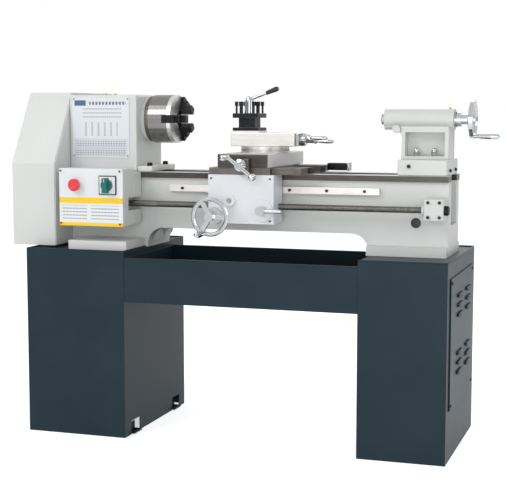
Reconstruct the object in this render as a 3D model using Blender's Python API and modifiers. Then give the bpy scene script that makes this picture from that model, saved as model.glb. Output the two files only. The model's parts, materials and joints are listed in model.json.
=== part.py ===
"""A bench lathe on a two-cabinet stand. Metres, +X towards the tailstock, +Y away from the operator, +Z up."""

import math

import bmesh
import bpy
from mathutils import Matrix, Vector

# ---- driving dimensions ----
GAP = 0.0003            # between faces that touch on the real machine
RUN = 0.001             # running clearance round turning pieces

# stand: x runs from the left cabinet's left edge, y from the cabinets' fronts, z from the floor
LEFT_WIDTH = 0.347
RIGHT_WIDTH = 0.272
STAND_DEPTH = 0.520
STAND_HEIGHT = 0.607
SPAN = 1.115            # from the left cabinet's left edge to the right cabinet's
SHEET = 0.0025
NOTCH_WIDTH = 0.070
NOTCH_HEIGHT = 0.045
TRAY_BOTTOM = 0.446
TRAY_TOP = 0.588
TRAY_DEPTH = 0.430
PANEL_HEIGHT = 0.400
PANEL_DEPTH = 0.430
PANEL_THICK = 0.004

# bed
BED_LEFT = 0.078
BED_RIGHT = 1.356
BED_FRONT = 0.170
BED_WIDTH = 0.210
WAY_TOP = 0.857
WAY_THICK = 0.019
WAY_LIP = 0.011
WAY_WIDTH = 0.055
BED_UNDER = 0.672       # underside between the feet
ARCH_RADIUS = 0.055
LEFT_FOOT_END = 0.355
RIGHT_FOOT_START = 1.105
FOOT_FLARE = 0.022
POCKET_LENGTH = 0.190
RIB = 0.030
RACK_TOP = 0.817
RACK_HEIGHT = 0.022
RACK_THICK = 0.014
RACK_LEFT = 0.440
RACK_RIGHT = 1.142

# leadscrew
SCREW_RADIUS = 0.0105
SCREW_FRONT = 0.130
SCREW_HEIGHT = 0.755
SCREW_GEAR_X = 0.035
BRACKET_LEFT = 1.291
BRACKET_RIGHT = 1.352
BRACKET_TOP = 0.790
BRACKET_BOTTOM = 0.723

# headstock and spindle
HEAD_RIGHT = 0.322
HEAD_TOP = 1.110
HEAD_DEPTH = 0.215
HEAD_WALL = 0.014
CENTRE_HEIGHT = 0.173
SPINDLE_RADIUS = 0.026
SPINDLE_BORE = 0.013
SPINDLE_LEFT = 0.004
CAP_RADIUS = 0.072
CAP_THICK = 0.012
PLATE_THICK = 0.014
CHUCK_RADIUS = 0.080
CHUCK_BACK = 0.350
CHUCK_LENGTH = 0.080
CHUCK_BORE = 0.021
JAW_WIDTH = 0.026
JAW_BACK = 0.030        # from the chuck's face into its slot
JAW_PROUD = 0.044

# gear cover, electrical box and drive
COVER_LEFT = -0.080
COVER_RIGHT = 0.074
COVER_FRONT = 0.060
COVER_BACK = 0.515
COVER_BOTTOM = 0.614
COVER_BREAK = 0.884     # where the front starts to slope back
COVER_SLOPE_BACK = 0.195
COVER_TOP = 1.118
COVER_WALL = 0.004
BOX_LEFT = 0.113
BOX_RIGHT = 0.338
BOX_FRONT = 0.020
BOX_SPLIT = 0.105
BOX_BOTTOM = 0.686
BOX_TOP = 0.872
BUTTON_X = 0.174
BUTTON_RADIUS = 0.020
BUTTON_TRAVEL = 0.005
KNOB_X = 0.286
CONTROL_HEIGHT = 0.819
MOTOR_Y = 0.450
MOTOR_HEIGHT = 0.680
MOTOR_RADIUS = 0.062
MOTOR_LENGTH = 0.230
BELT_X = 0.052
BELT_WIDTH = 0.012
SPINDLE_PULLEY = 0.060
MOTOR_PULLEY = 0.030

# carriage
SADDLE_LEFT = 0.606
SADDLE_RIGHT = 0.910
SADDLE_TOP = 0.878
SADDLE_FRONT = 0.092
BRIDGE_LEFT = 0.640
BRIDGE_RIGHT = 0.816
SADDLE_BACK = 0.425
APRON_LEFT = 0.611
APRON_RIGHT = 0.828
APRON_FRONT = 0.070
APRON_BACK = 0.160
APRON_BOTTOM = 0.703
WHEEL_X = 0.637
WHEEL_HEIGHT = 0.727
WHEEL_FRONT = 0.000
WHEEL_RADIUS = 0.062
BOSS_X = 0.683
BOSS_HEIGHT = 0.776
HALFNUT_X = 0.792
HALFNUT_HEIGHT = 0.746
HALFNUT_RADIUS = 0.034

# slides
CROSS_LEFT = 0.645
CROSS_RIGHT = 0.811
CROSS_FRONT = 0.062
CROSS_LENGTH = 0.400
CROSS_TOP = 0.922
CRANK_X = 0.735
CRANK_HEIGHT = 0.889
SWIVEL_X = 0.738
SWIVEL_Y = 0.265
SWIVEL_RADIUS = 0.078
SWIVEL_TOP = 0.942
TOP_LEFT = 0.634
TOP_RIGHT = 0.850
TOP_FRONT = 0.220
TOP_WIDTH = 0.090
TOP_HEIGHT = 0.050
TOP_SCREW_HEIGHT = 0.964
POST_X = 0.684
POST_SIZE = 0.088
POST_TOP = 1.049
SCREW_RISE = 0.038
HUB_RISE = 0.056

# tailstock
TAIL_LEFT = 1.136
TAIL_RIGHT = 1.356
TAIL_BASE_LEFT = 1.196
TAIL_BASE_RIGHT = 1.350
TAIL_BASE_TOP = 0.906
BARREL_RADIUS = 0.033
QUILL_RADIUS = 0.017
HANDWHEEL_X = 1.398
HANDWHEEL_RADIUS = 0.060

AXIS_Y = BED_FRONT + BED_WIDTH / 2
AXIS_Z = WAY_TOP + CENTRE_HEIGHT
BED_BACK = BED_FRONT + BED_WIDTH
TURN = {"X": Matrix.Rotation(math.pi / 2, 4, "Y"), "Y": Matrix.Rotation(-math.pi / 2, 4, "X"), "Z": Matrix()}

for old in list(bpy.data.objects):
    bpy.data.objects.remove(old, do_unlink=True)

machine = bpy.data.collections.new("lathe")
cutters = bpy.data.collections.new("cutters")
bpy.context.scene.collection.children.link(machine)
bpy.context.scene.collection.children.link(cutters)
cutters.hide_render = True
root = bpy.data.objects.new("lathe_root", None)
machine.objects.link(root)


# ---- helpers ----
def material(name, colour, roughness, metallic):
    made = bpy.data.materials.new(name)
    made.use_nodes = True
    shader = made.node_tree.nodes["Principled BSDF"]
    shader.inputs["Base Color"].default_value = (*colour, 1)
    shader.inputs["Roughness"].default_value = roughness
    shader.inputs["Metallic"].default_value = metallic
    return made


FINISH = {
    "slate": material("slate_paint", (0.025, 0.045, 0.061), 0.35, 0),
    "cream": material("cream_paint", (0.68, 0.71, 0.68), 0.40, 0),
    "panel": material("panel_paint", (0.74, 0.79, 0.82), 0.35, 0),
    "steel": material("bare_steel", (0.45, 0.45, 0.44), 0.35, 1),
    "iron": material("bare_iron", (0.20, 0.19, 0.18), 0.50, 1),
    "chrome": material("chrome", (0.80, 0.80, 0.80), 0.10, 1),
    "black": material("black_oxide", (0.03, 0.03, 0.03), 0.45, 1),
    "plastic": material("black_plastic", (0.02, 0.02, 0.02), 0.40, 0),
    "red": material("red_plastic", (0.70, 0.04, 0.05), 0.30, 0),
    "teal": material("teal_plastic", (0.01, 0.12, 0.12), 0.35, 0),
    "rubber": material("belt_rubber", (0.02, 0.02, 0.02), 0.80, 0),
    "brass": material("brass", (0.60, 0.45, 0.20), 0.35, 1),
    "motor": material("motor_paint", (0.10, 0.13, 0.16), 0.45, 0),
}


def pivot(name, at, parent=None):
    """An empty on a joint's axis. The pieces of a moving body hang on it."""
    made = bpy.data.objects.new(name, None)
    machine.objects.link(made)
    made.parent = parent or root
    made["at"] = at
    made.location = Vector(at) - Vector(made.parent.get("at", (0, 0, 0)))
    return made


def new_piece(name, mesh, at, finish, body=None, smooth=False):
    """Links a mesh as a sub-part whose origin is at a world position."""
    piece = bpy.data.objects.new(name, mesh)
    (machine if finish else cutters).objects.link(piece)
    if finish:
        piece.parent = body or root
        piece.location = Vector(at) - Vector(piece.parent.get("at", (0, 0, 0)))
        mesh.materials.append(FINISH[finish])
    else:
        piece.parent = root
        piece.location = at
        piece.hide_render = True
        piece.display_type = "WIRE"
    if smooth:
        mesh.shade_smooth()
        mesh.set_sharp_from_angle(angle=math.radians(35))
    return piece


def box(name, low, high, finish=None, body=None, bevel=0):
    """A block between two corners."""
    centre = (Vector(low) + Vector(high)) / 2
    size = Vector(high) - Vector(low)
    shape = bmesh.new()
    bmesh.ops.create_cube(shape, size=1)
    bmesh.ops.scale(shape, vec=size, verts=shape.verts)
    mesh = bpy.data.meshes.new(name)
    shape.to_mesh(mesh)
    shape.free()
    piece = new_piece(name, mesh, centre, finish, body)
    if bevel:
        edge = piece.modifiers.new("edge", "BEVEL")
        edge.width = bevel
        edge.segments = 2
        edge.limit_method = "ANGLE"
    return piece


def rod(name, axis, at, radius, length, finish=None, body=None, sides=32, end_radius=None):
    """A cylinder or cone whose first face is at a world position and which runs along +axis."""
    shape = bmesh.new()
    bmesh.ops.create_cone(
        shape,
        cap_ends=True,
        segments=sides,
        radius1=radius,
        radius2=radius if end_radius is None else end_radius,
        depth=length,
    )
    bmesh.ops.translate(shape, vec=(0, 0, length / 2), verts=shape.verts)
    bmesh.ops.transform(shape, matrix=TURN[axis], verts=shape.verts)
    mesh = bpy.data.meshes.new(name)
    shape.to_mesh(mesh)
    shape.free()
    return new_piece(name, mesh, at, finish, body, smooth=True)


def turned(name, axis, at, profile, finish=None, body=None, steps=32, closed=False):
    """A profile of (radius, distance along the axis) turned about an axis, from the far end to the near one."""
    shape = bmesh.new()
    points = [shape.verts.new(TURN[axis] @ Vector((radius, 0, along))) for radius, along in profile]
    pairs = list(zip(points, points[1:]))
    if closed:
        pairs.append((points[-1], points[0]))
    for pair in pairs:
        shape.edges.new(pair)
    mesh = bpy.data.meshes.new(name)
    shape.to_mesh(mesh)
    shape.free()
    piece = new_piece(name, mesh, at, finish, body)
    turn = piece.modifiers.new("turn", "SCREW")
    turn.axis = axis
    turn.steps = steps
    turn.render_steps = steps
    turn.use_merge_vertices = True
    turn.merge_threshold = 0.00001
    loop = profile + profile[:1]
    area = sum(a[0] * b[1] - b[0] * a[1] for a, b in zip(loop, loop[1:]))
    turn.use_normal_flip = area > 0
    turn.use_smooth_shade = False
    return piece


def outline(name, axis, at, points, thickness, finish=None, body=None):
    """A flat outline extruded along +axis. Its points are (x, z) for axis Y, (y, z) for X and (x, y) for Z."""
    curve = bpy.data.curves.new(name, "CURVE")
    curve.dimensions = "2D"
    curve.fill_mode = "BOTH"
    curve.extrude = thickness / 2
    line = curve.splines.new("POLY")
    line.points.add(len(points) - 1)
    for point, (u, v) in zip(line.points, points):
        point.co = (u, v, 0, 1)
    line.use_cyclic_u = True
    helper = bpy.data.objects.new(name + "_outline", curve)
    cutters.objects.link(helper)
    mesh = bpy.data.meshes.new_from_object(helper.evaluated_get(bpy.context.evaluated_depsgraph_get()))
    bpy.data.objects.remove(helper)
    mesh.name = name
    shape = bmesh.new()
    shape.from_mesh(mesh)
    bmesh.ops.remove_doubles(shape, verts=shape.verts, dist=0.000001)
    bmesh.ops.translate(shape, vec=(0, 0, thickness / 2), verts=shape.verts)
    swap = {
        "X": Matrix(((0, 0, 1, 0), (1, 0, 0, 0), (0, 1, 0, 0), (0, 0, 0, 1))),
        "Y": Matrix(((1, 0, 0, 0), (0, 0, 1, 0), (0, 1, 0, 0), (0, 0, 0, 1))),
        "Z": Matrix(),
    }[axis]
    bmesh.ops.transform(shape, matrix=swap, verts=shape.verts)
    bmesh.ops.recalc_face_normals(shape, faces=shape.faces)
    shape.to_mesh(mesh)
    shape.free()
    return new_piece(name, mesh, at, finish, body)


def boolean(piece, other, operation):
    step = piece.modifiers.new(operation.lower(), "BOOLEAN")
    step.operation = operation
    step.solver = "EXACT"
    step.object = other


def cut(piece, *others):
    for other in others:
        boolean(piece, other, "DIFFERENCE")


def join(piece, *others):
    for other in others:
        boolean(piece, other, "UNION")


def arc(centre, radius, start, end, steps=6):
    """Points on an arc, in degrees."""
    made = []
    for step in range(steps + 1):
        angle = math.radians(start + (end - start) * step / steps)
        made.append((centre[0] + radius * math.cos(angle), centre[1] + radius * math.sin(angle)))
    return made


def ring(inner, outer, near, far):
    """The closed profile of a tube."""
    return [(outer, far), (outer, near), (inner, near), (inner, far)]


def gear(name, axis, at, radius, bore, width, teeth, body):
    """A spur gear drawn at its root circle plus short teeth, so that meshing gears stay clear of each other."""
    points = []
    for tooth in range(teeth):
        for share, reach in ((0.0, 0), (0.3, 0), (0.45, 1), (0.75, 1)):
            angle = 2 * math.pi * (tooth + share) / teeth
            size = radius - 0.0012 + 0.0010 * reach
            points.append((size * math.cos(angle), size * math.sin(angle)))
    made = outline(name, axis, at, points, width, "steel", body)
    along = "XYZ".index(axis)
    start = Vector(at)
    start[along] -= 0.01
    cut(made, rod(name + "_bore", axis, start, bore, width + 0.02, sides=24))
    return made


# ---- stand ----
def cabinet(name, left, width, notch_y):
    right = left + width
    made = box(name, (left, 0, 0), (right, STAND_DEPTH, STAND_HEIGHT), "slate")
    cut(made, box(name + "_inside", (left + SHEET, SHEET, -0.01), (right - SHEET, STAND_DEPTH - SHEET, STAND_HEIGHT - SHEET)))
    for y in notch_y:
        cut(made, box(name + "_notch", (right - 0.01, y, -0.01), (right + 0.01, y + NOTCH_WIDTH, NOTCH_HEIGHT)))
    return made


def stand():
    cabinet("left_cabinet", 0, LEFT_WIDTH, (0.05, STAND_DEPTH - 0.12))
    cabinet("right_cabinet", SPAN, RIGHT_WIDTH, ())
    side = SPAN + RIGHT_WIDTH + GAP
    start = (STAND_DEPTH - PANEL_DEPTH) / 2
    low = STAND_HEIGHT - 0.05 - PANEL_HEIGHT
    panel = box("louvre_panel", (side, start, low), (side + PANEL_THICK, start + PANEL_DEPTH, low + PANEL_HEIGHT), "slate")
    for y in (start + 0.11, start + 0.27):
        for z in (0.09, 0.12, 0.15, 0.27, 0.30, 0.33):
            slot = box("louvre_slot", (side - 0.01, y, low + z), (side + 0.02, y + 0.09, low + z + 0.008))
            cut(panel, slot)
    left = LEFT_WIDTH + GAP
    right = SPAN - GAP
    tray = box("chip_tray", (left, 0.001, TRAY_BOTTOM), (right, TRAY_DEPTH, TRAY_TOP), "slate")
    inside = box(
        "tray_inside",
        (left + SHEET, 0.001 + SHEET, TRAY_BOTTOM + SHEET),
        (right - SHEET, TRAY_DEPTH - SHEET, TRAY_TOP + 0.01),
    )
    cut(tray, inside)


# ---- bed ----
def bed():
    floor = STAND_HEIGHT + GAP
    under = BED_UNDER
    bend = ARCH_RADIUS
    points = [(BED_RIGHT, WAY_TOP - WAY_THICK / 2), (BED_LEFT, WAY_TOP - WAY_THICK / 2), (BED_LEFT, floor)]
    points += [(LEFT_FOOT_END, floor)]
    points += arc((LEFT_FOOT_END + bend, under - bend), bend, 180, 90)
    points += arc((RIGHT_FOOT_START - bend, under - bend), bend, 90, 0)
    points += [(RIGHT_FOOT_START, floor), (BED_RIGHT, floor)]
    made = outline("bed", "Y", (0, BED_FRONT + WAY_LIP, 0), points, BED_WIDTH - 2 * WAY_LIP, "cream")
    ways = box("way_slab", (BED_LEFT, BED_FRONT, WAY_TOP - WAY_THICK), (BED_RIGHT, BED_BACK, WAY_TOP))
    left_foot = box(
        "left_foot",
        (BED_LEFT + 0.06, BED_FRONT - 0.14, floor),
        (LEFT_FOOT_END - 0.012, BED_BACK + 0.01, floor + 0.03),
    )
    right_foot = box(
        "right_foot",
        (RIGHT_FOOT_START, BED_FRONT - FOOT_FLARE, floor),
        (BED_RIGHT, BED_BACK + 0.01, floor + 0.03),
    )
    join(made, ways, left_foot, right_foot)
    low = BED_FRONT + WAY_WIDTH
    high = BED_BACK - WAY_WIDTH
    start = LEFT_FOOT_END
    while start + POCKET_LENGTH < RIGHT_FOOT_START:
        pocket = box("way_pocket", (start, low, under - 0.05), (start + POCKET_LENGTH, high, WAY_TOP + 0.02))
        cut(made, pocket)
        start += POCKET_LENGTH + RIB
    cut(made, box("end_pocket", (start, low, under + 0.03), (BED_RIGHT + 0.02, high, WAY_TOP + 0.02)))
    trough = box("rib_relief", (LEFT_FOOT_END, low, WAY_TOP - 0.03), (start + 0.02, high, WAY_TOP + 0.03))
    cut(made, trough)
    face = BED_FRONT + WAY_LIP - GAP
    box("feed_rack", (RACK_LEFT, face - RACK_THICK, RACK_TOP - RACK_HEIGHT), (RACK_RIGHT, face, RACK_TOP), "steel")
    bracket = box(
        "leadscrew_bracket",
        (BRACKET_LEFT, SCREW_FRONT - 0.02, BRACKET_BOTTOM),
        (BRACKET_RIGHT, face, BRACKET_TOP),
        "cream",
        bevel=0.004,
    )
    cut(bracket, screw_hole(BRACKET_LEFT - 0.02, 0.1))


def screw_hole(start, length):
    """A cutter for the leadscrew's running hole."""
    return rod("screw_hole", "X", (start, SCREW_FRONT, SCREW_HEIGHT), SCREW_RADIUS + RUN, length, sides=24)


# ---- headstock, spindle and chuck ----
def headstock(spindle, jaws):
    low = WAY_TOP + GAP
    left = BED_LEFT
    back = BED_FRONT + HEAD_DEPTH
    case = box("headstock", (left, BED_FRONT, low), (HEAD_RIGHT, back, HEAD_TOP), "cream", bevel=0.006)
    wall = HEAD_WALL
    inside = box("head_inside", (left + wall, BED_FRONT + wall, low - 0.01), (HEAD_RIGHT - wall, back - wall, HEAD_TOP - wall))
    bore = rod("head_bore", "X", (left - 0.1, AXIS_Y, AXIS_Z), SPINDLE_RADIUS + 0.012, 0.5)
    cut(case, inside, bore)
    at = (0, AXIS_Y, AXIS_Z)
    seat = SPINDLE_RADIUS + GAP
    for name, x in (("rear_bearing", left + 0.001), ("front_bearing", HEAD_RIGHT - wall)):
        turned(name, "X", at, ring(seat, SPINDLE_RADIUS + 0.012 - GAP, x, x + wall - 0.001), "steel", closed=True)
    start = HEAD_RIGHT + GAP
    turned("bearing_cap", "X", at, ring(seat + RUN, CAP_RADIUS, start, start + CAP_THICK), "cream", closed=True)
    flange = CHUCK_BACK - PLATE_THICK
    profile = [(SPINDLE_BORE, CHUCK_BACK), (0.035, CHUCK_BACK), (0.035, flange), (SPINDLE_RADIUS, flange)]
    profile += [(SPINDLE_RADIUS, SPINDLE_LEFT), (SPINDLE_BORE, SPINDLE_LEFT)]
    turned("spindle", "X", at, profile, "steel", spindle, closed=True)
    plate = ring(0.035 + GAP, CHUCK_RADIUS - 0.004, CHUCK_BACK - PLATE_THICK, CHUCK_BACK)
    turned("chuck_backplate", "X", at, plate, "iron", spindle, closed=True)
    front = CHUCK_BACK + CHUCK_LENGTH
    body = turned("chuck_body", "X", at, ring(CHUCK_BORE, CHUCK_RADIUS, CHUCK_BACK + GAP, front), "steel", spindle, closed=True)
    slot_back = front - JAW_BACK
    for number, jaw in enumerate(jaws):
        turn = Matrix.Rotation(math.radians(120 * number), 4, "X")
        half = JAW_WIDTH / 2
        slot = box("jaw_slot", (slot_back - GAP, -CHUCK_RADIUS - 0.01, -half - GAP), (front + 0.01, 0, half + GAP))
        slot.matrix_local = Matrix.Translation(at) @ turn @ Matrix.Translation(slot.location)
        cut(body, slot)
        points = [(-0.024, slot_back), (-0.078, slot_back), (-0.078, front + 0.012), (-0.062, front + 0.012)]
        points += [(-0.062, front + 0.026), (-0.045, front + 0.026), (-0.045, front + JAW_PROUD)]
        points += [(-0.024, front + JAW_PROUD)]
        shape = [(x, y) for y, x in points]
        piece = outline(f"chuck_jaw_{number + 1}", "Z", at, shape, JAW_WIDTH, "black", jaw)
        piece.data.transform(turn @ Matrix.Translation((0, 0, -half)))
    plate_low = (BED_LEFT + 0.012, BED_FRONT - 0.0023, WAY_TOP + 0.045)
    box("index_plate", plate_low, (HEAD_RIGHT - 0.025, BED_FRONT - GAP, HEAD_TOP - 0.008), "panel")


# ---- gear case, drive and electrical box ----
def case_outline(inset):
    return [
        (COVER_FRONT + inset, COVER_BOTTOM + inset),
        (COVER_BACK - inset, COVER_BOTTOM + inset),
        (COVER_BACK - inset, COVER_TOP - inset),
        (COVER_SLOPE_BACK + inset * 0.7, COVER_TOP - inset),
        (COVER_FRONT + inset, COVER_BREAK - inset * 0.3),
    ]


def drive(cover, spindle, screw, idler, motor):
    width = COVER_RIGHT - COVER_LEFT
    shell = outline("gear_cover", "X", (COVER_LEFT, 0, 0), case_outline(0), width, "cream", cover)
    shell.location.x = COVER_LEFT - cover["at"][0]
    shell.location.y = -cover["at"][1]
    shell.location.z = -cover["at"][2]
    cut(shell, outline("case_inside", "X", (COVER_LEFT + COVER_WALL, 0, 0), case_outline(COVER_WALL), width))
    plate = outline("gear_case_back", "X", (COVER_RIGHT + GAP, 0, 0), case_outline(0.002), 0.003, "cream")
    cut(
        plate,
        rod("tail_hole", "X", (0, AXIS_Y, AXIS_Z), SPINDLE_RADIUS + 0.006, 0.2),
        rod("feed_hole", "X", (0, SCREW_FRONT, SCREW_HEIGHT), SCREW_RADIUS + 0.004, 0.2),
        rod("motor_hole", "X", (0, MOTOR_Y, MOTOR_HEIGHT), 0.012, 0.2),
    )
    at = (0, AXIS_Y, AXIS_Z)
    bore = SPINDLE_RADIUS + GAP
    edge = BELT_X + BELT_WIDTH / 2 + 0.004
    low = edge - BELT_WIDTH - 0.008
    turned("spindle_pulley", "X", at, ring(bore, SPINDLE_PULLEY, low, edge), "iron", spindle, closed=True)
    gear("spindle_gear", "X", (0.016, AXIS_Y, AXIS_Z), 0.040, bore, 0.016, 32, spindle)
    gear("leadscrew_gear", "X", (0.016, SCREW_FRONT, SCREW_HEIGHT), 0.060, SCREW_RADIUS + GAP, 0.016, 48, screw)
    span = math.hypot(AXIS_Y - SCREW_FRONT, AXIS_Z - SCREW_HEIGHT)
    gap = span - 0.100
    middle = 0.060 + gap / 2
    direction = ((AXIS_Y - SCREW_FRONT) / span, (AXIS_Z - SCREW_HEIGHT) / span)
    y = SCREW_FRONT + direction[0] * middle
    z = SCREW_HEIGHT + direction[1] * middle
    idler["at"] = (0, y, z)
    idler.location = (0, y, z)
    gear("idler_gear", "X", (0.016, y, z), gap / 2 - 0.0004, 0.009, 0.016, 84, idler)
    rod("idler_stud", "X", (0.010, y, z), 0.009 - GAP, COVER_RIGHT - 0.010, "steel")
    motor_drive(motor)


def motor_drive(motor):
    floor = STAND_HEIGHT + GAP
    left = COVER_RIGHT + 0.012
    case = rod("motor_case", "X", (left, MOTOR_Y, MOTOR_HEIGHT), MOTOR_RADIUS, MOTOR_LENGTH, "motor")
    feet = box("motor_feet", (left + 0.03, MOTOR_Y - 0.05, floor), (left + MOTOR_LENGTH - 0.03, MOTOR_Y + 0.05, MOTOR_HEIGHT - 0.02))
    join(case, feet)
    cut(case, rod("shaft_bore", "X", (left - 0.01, MOTOR_Y, MOTOR_HEIGHT), 0.0095 + GAP, 0.05))
    edge = BELT_X - BELT_WIDTH / 2 - 0.004
    profile = [(0, left + 0.03), (0.0095, left + 0.03), (0.0095, edge + 0.020), (MOTOR_PULLEY, edge + 0.020)]
    turned("motor_pulley", "X", (0, MOTOR_Y, MOTOR_HEIGHT), profile + [(MOTOR_PULLEY, edge), (0, edge)], "iron", motor)
    low = BELT_X - BELT_WIDTH / 2
    belt = outline("drive_belt", "X", (low, 0, 0), belt_path(0.007), BELT_WIDTH, "rubber")
    cut(belt, outline("belt_inside", "X", (low - 0.01, 0, 0), belt_path(0.0008), BELT_WIDTH + 0.02))


def belt_path(reach):
    """The loop round both pulleys, at a distance outside their rims."""
    across = AXIS_Y - MOTOR_Y
    up = AXIS_Z - MOTOR_HEIGHT
    heading = math.degrees(math.atan2(up, across))
    lean = math.degrees(math.asin((SPINDLE_PULLEY - MOTOR_PULLEY) / math.hypot(across, up)))
    upper = arc((AXIS_Y, AXIS_Z), SPINDLE_PULLEY + reach, heading - 90 - lean, heading + 90 + lean, 16)
    lower = arc((MOTOR_Y, MOTOR_HEIGHT), MOTOR_PULLEY + reach, heading + 90 + lean, heading + 270 - lean, 12)
    return upper + lower


def control_box(button, knob):
    low = (BOX_LEFT, BOX_FRONT + 0.004, BOX_BOTTOM)
    case = box("electrical_box", low, (BOX_RIGHT, BOX_SPLIT, BOX_TOP), "cream", bevel=0.003)
    inner = (BOX_LEFT + 0.003, BOX_FRONT, BOX_BOTTOM + 0.003)
    cut(case, box("box_inside", inner, (BOX_RIGHT - 0.040, BOX_SPLIT - 0.003, BOX_TOP - 0.003)))
    feed_low = (BOX_LEFT, BOX_SPLIT + GAP, BOX_BOTTOM)
    feed = box("feed_box", feed_low, (BOX_RIGHT, BED_FRONT - GAP, BOX_TOP - 0.016), "cream", bevel=0.003)
    notch = box("screw_notch", (BOX_RIGHT - 0.035, 0.064, 0.735), (BOX_RIGHT + 0.01, 0.18, 0.777))
    cut(feed, screw_hole(BOX_LEFT - 0.02, 0.4), notch)
    cut(case, notch)
    panel = box("control_panel", (BOX_LEFT, BOX_FRONT, BOX_BOTTOM), (BOX_RIGHT, BOX_FRONT + 0.0037, BOX_TOP), "panel")
    front = BOX_FRONT - GAP
    join(panel, rod("button_collar", "Y", (BUTTON_X, front - 0.006, CONTROL_HEIGHT), 0.0145, 0.008))
    for name, x, radius in (("button_hole", BUTTON_X, 0.0100), ("knob_hole", KNOB_X, 0.0065)):
        cut(panel, rod(name, "Y", (x, 0, CONTROL_HEIGHT), radius, 0.06, sides=24))
    at = (BUTTON_X, 0, CONTROL_HEIGHT)
    reach = front - 0.012
    profile = [(0, 0.060), (0.0095, 0.060), (0.0095, reach), (BUTTON_RADIUS, reach)]
    profile += [(BUTTON_RADIUS, reach - 0.008), (0.014, reach - 0.014), (0, reach - 0.016)]
    turned("stop_button", "Y", at, profile, "red", button)
    half = 0.031
    switch = box(
        "switch_plate",
        (KNOB_X - half, front - 0.004, CONTROL_HEIGHT - half),
        (KNOB_X + half, front, CONTROL_HEIGHT + half),
        "plastic",
        bevel=0.002,
    )
    at = (KNOB_X, 0, CONTROL_HEIGHT)
    cut(switch, rod("switch_hole", "Y", (KNOB_X, -0.02, CONTROL_HEIGHT), 0.0065, 0.1, sides=24))
    face = front - 0.004 - GAP
    handle = turned("switch_knob", "Y", at, [(0, 0.06), (0.006, 0.06), (0.006, face), (0.019, face), (0.019, face - 0.010), (0, face - 0.010)], "teal", knob)
    join(handle, box("knob_bar", (KNOB_X - 0.008, face - 0.026, CONTROL_HEIGHT - 0.024), (KNOB_X + 0.008, face - 0.005, CONTROL_HEIGHT + 0.024)))


# ---- carriage ----
def hand_wheel(name, axis, at, radius, rim, hub, depth, finish, body):
    """A spoked wheel: rim, three spokes and a hub."""
    mid = depth / 2
    corner = rim * 0.5
    profile = [(radius, mid + corner), (radius, mid - corner), (radius - corner, mid - rim), (radius - 1.5 * rim, mid - rim)]
    profile += [(radius - 2 * rim, mid - corner), (radius - 2 * rim, mid + corner), (radius - 1.5 * rim, mid + rim)]
    profile += [(radius - corner, mid + rim)]
    wheel = turned(name, axis, at, profile, finish, body, steps=48, closed=True)
    centre = rod(name + "_hub", axis, at, hub, depth)
    for spoke in range(3):
        angle = math.radians(90 + 120 * spoke)
        arm = box(name + "_spoke", (-0.007, mid - 0.004, 0), (0.007, mid + 0.004, radius - rim))
        turn = Matrix.Rotation(angle, 4, "Y")
        flip = Matrix.Rotation(math.pi / 2, 4, "Z") if axis == "X" else Matrix()
        arm.matrix_local = Matrix.Translation(at) @ flip @ turn @ Matrix.Translation(arm.location)
        join(wheel, arm)
    join(wheel, centre)
    return wheel


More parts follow.
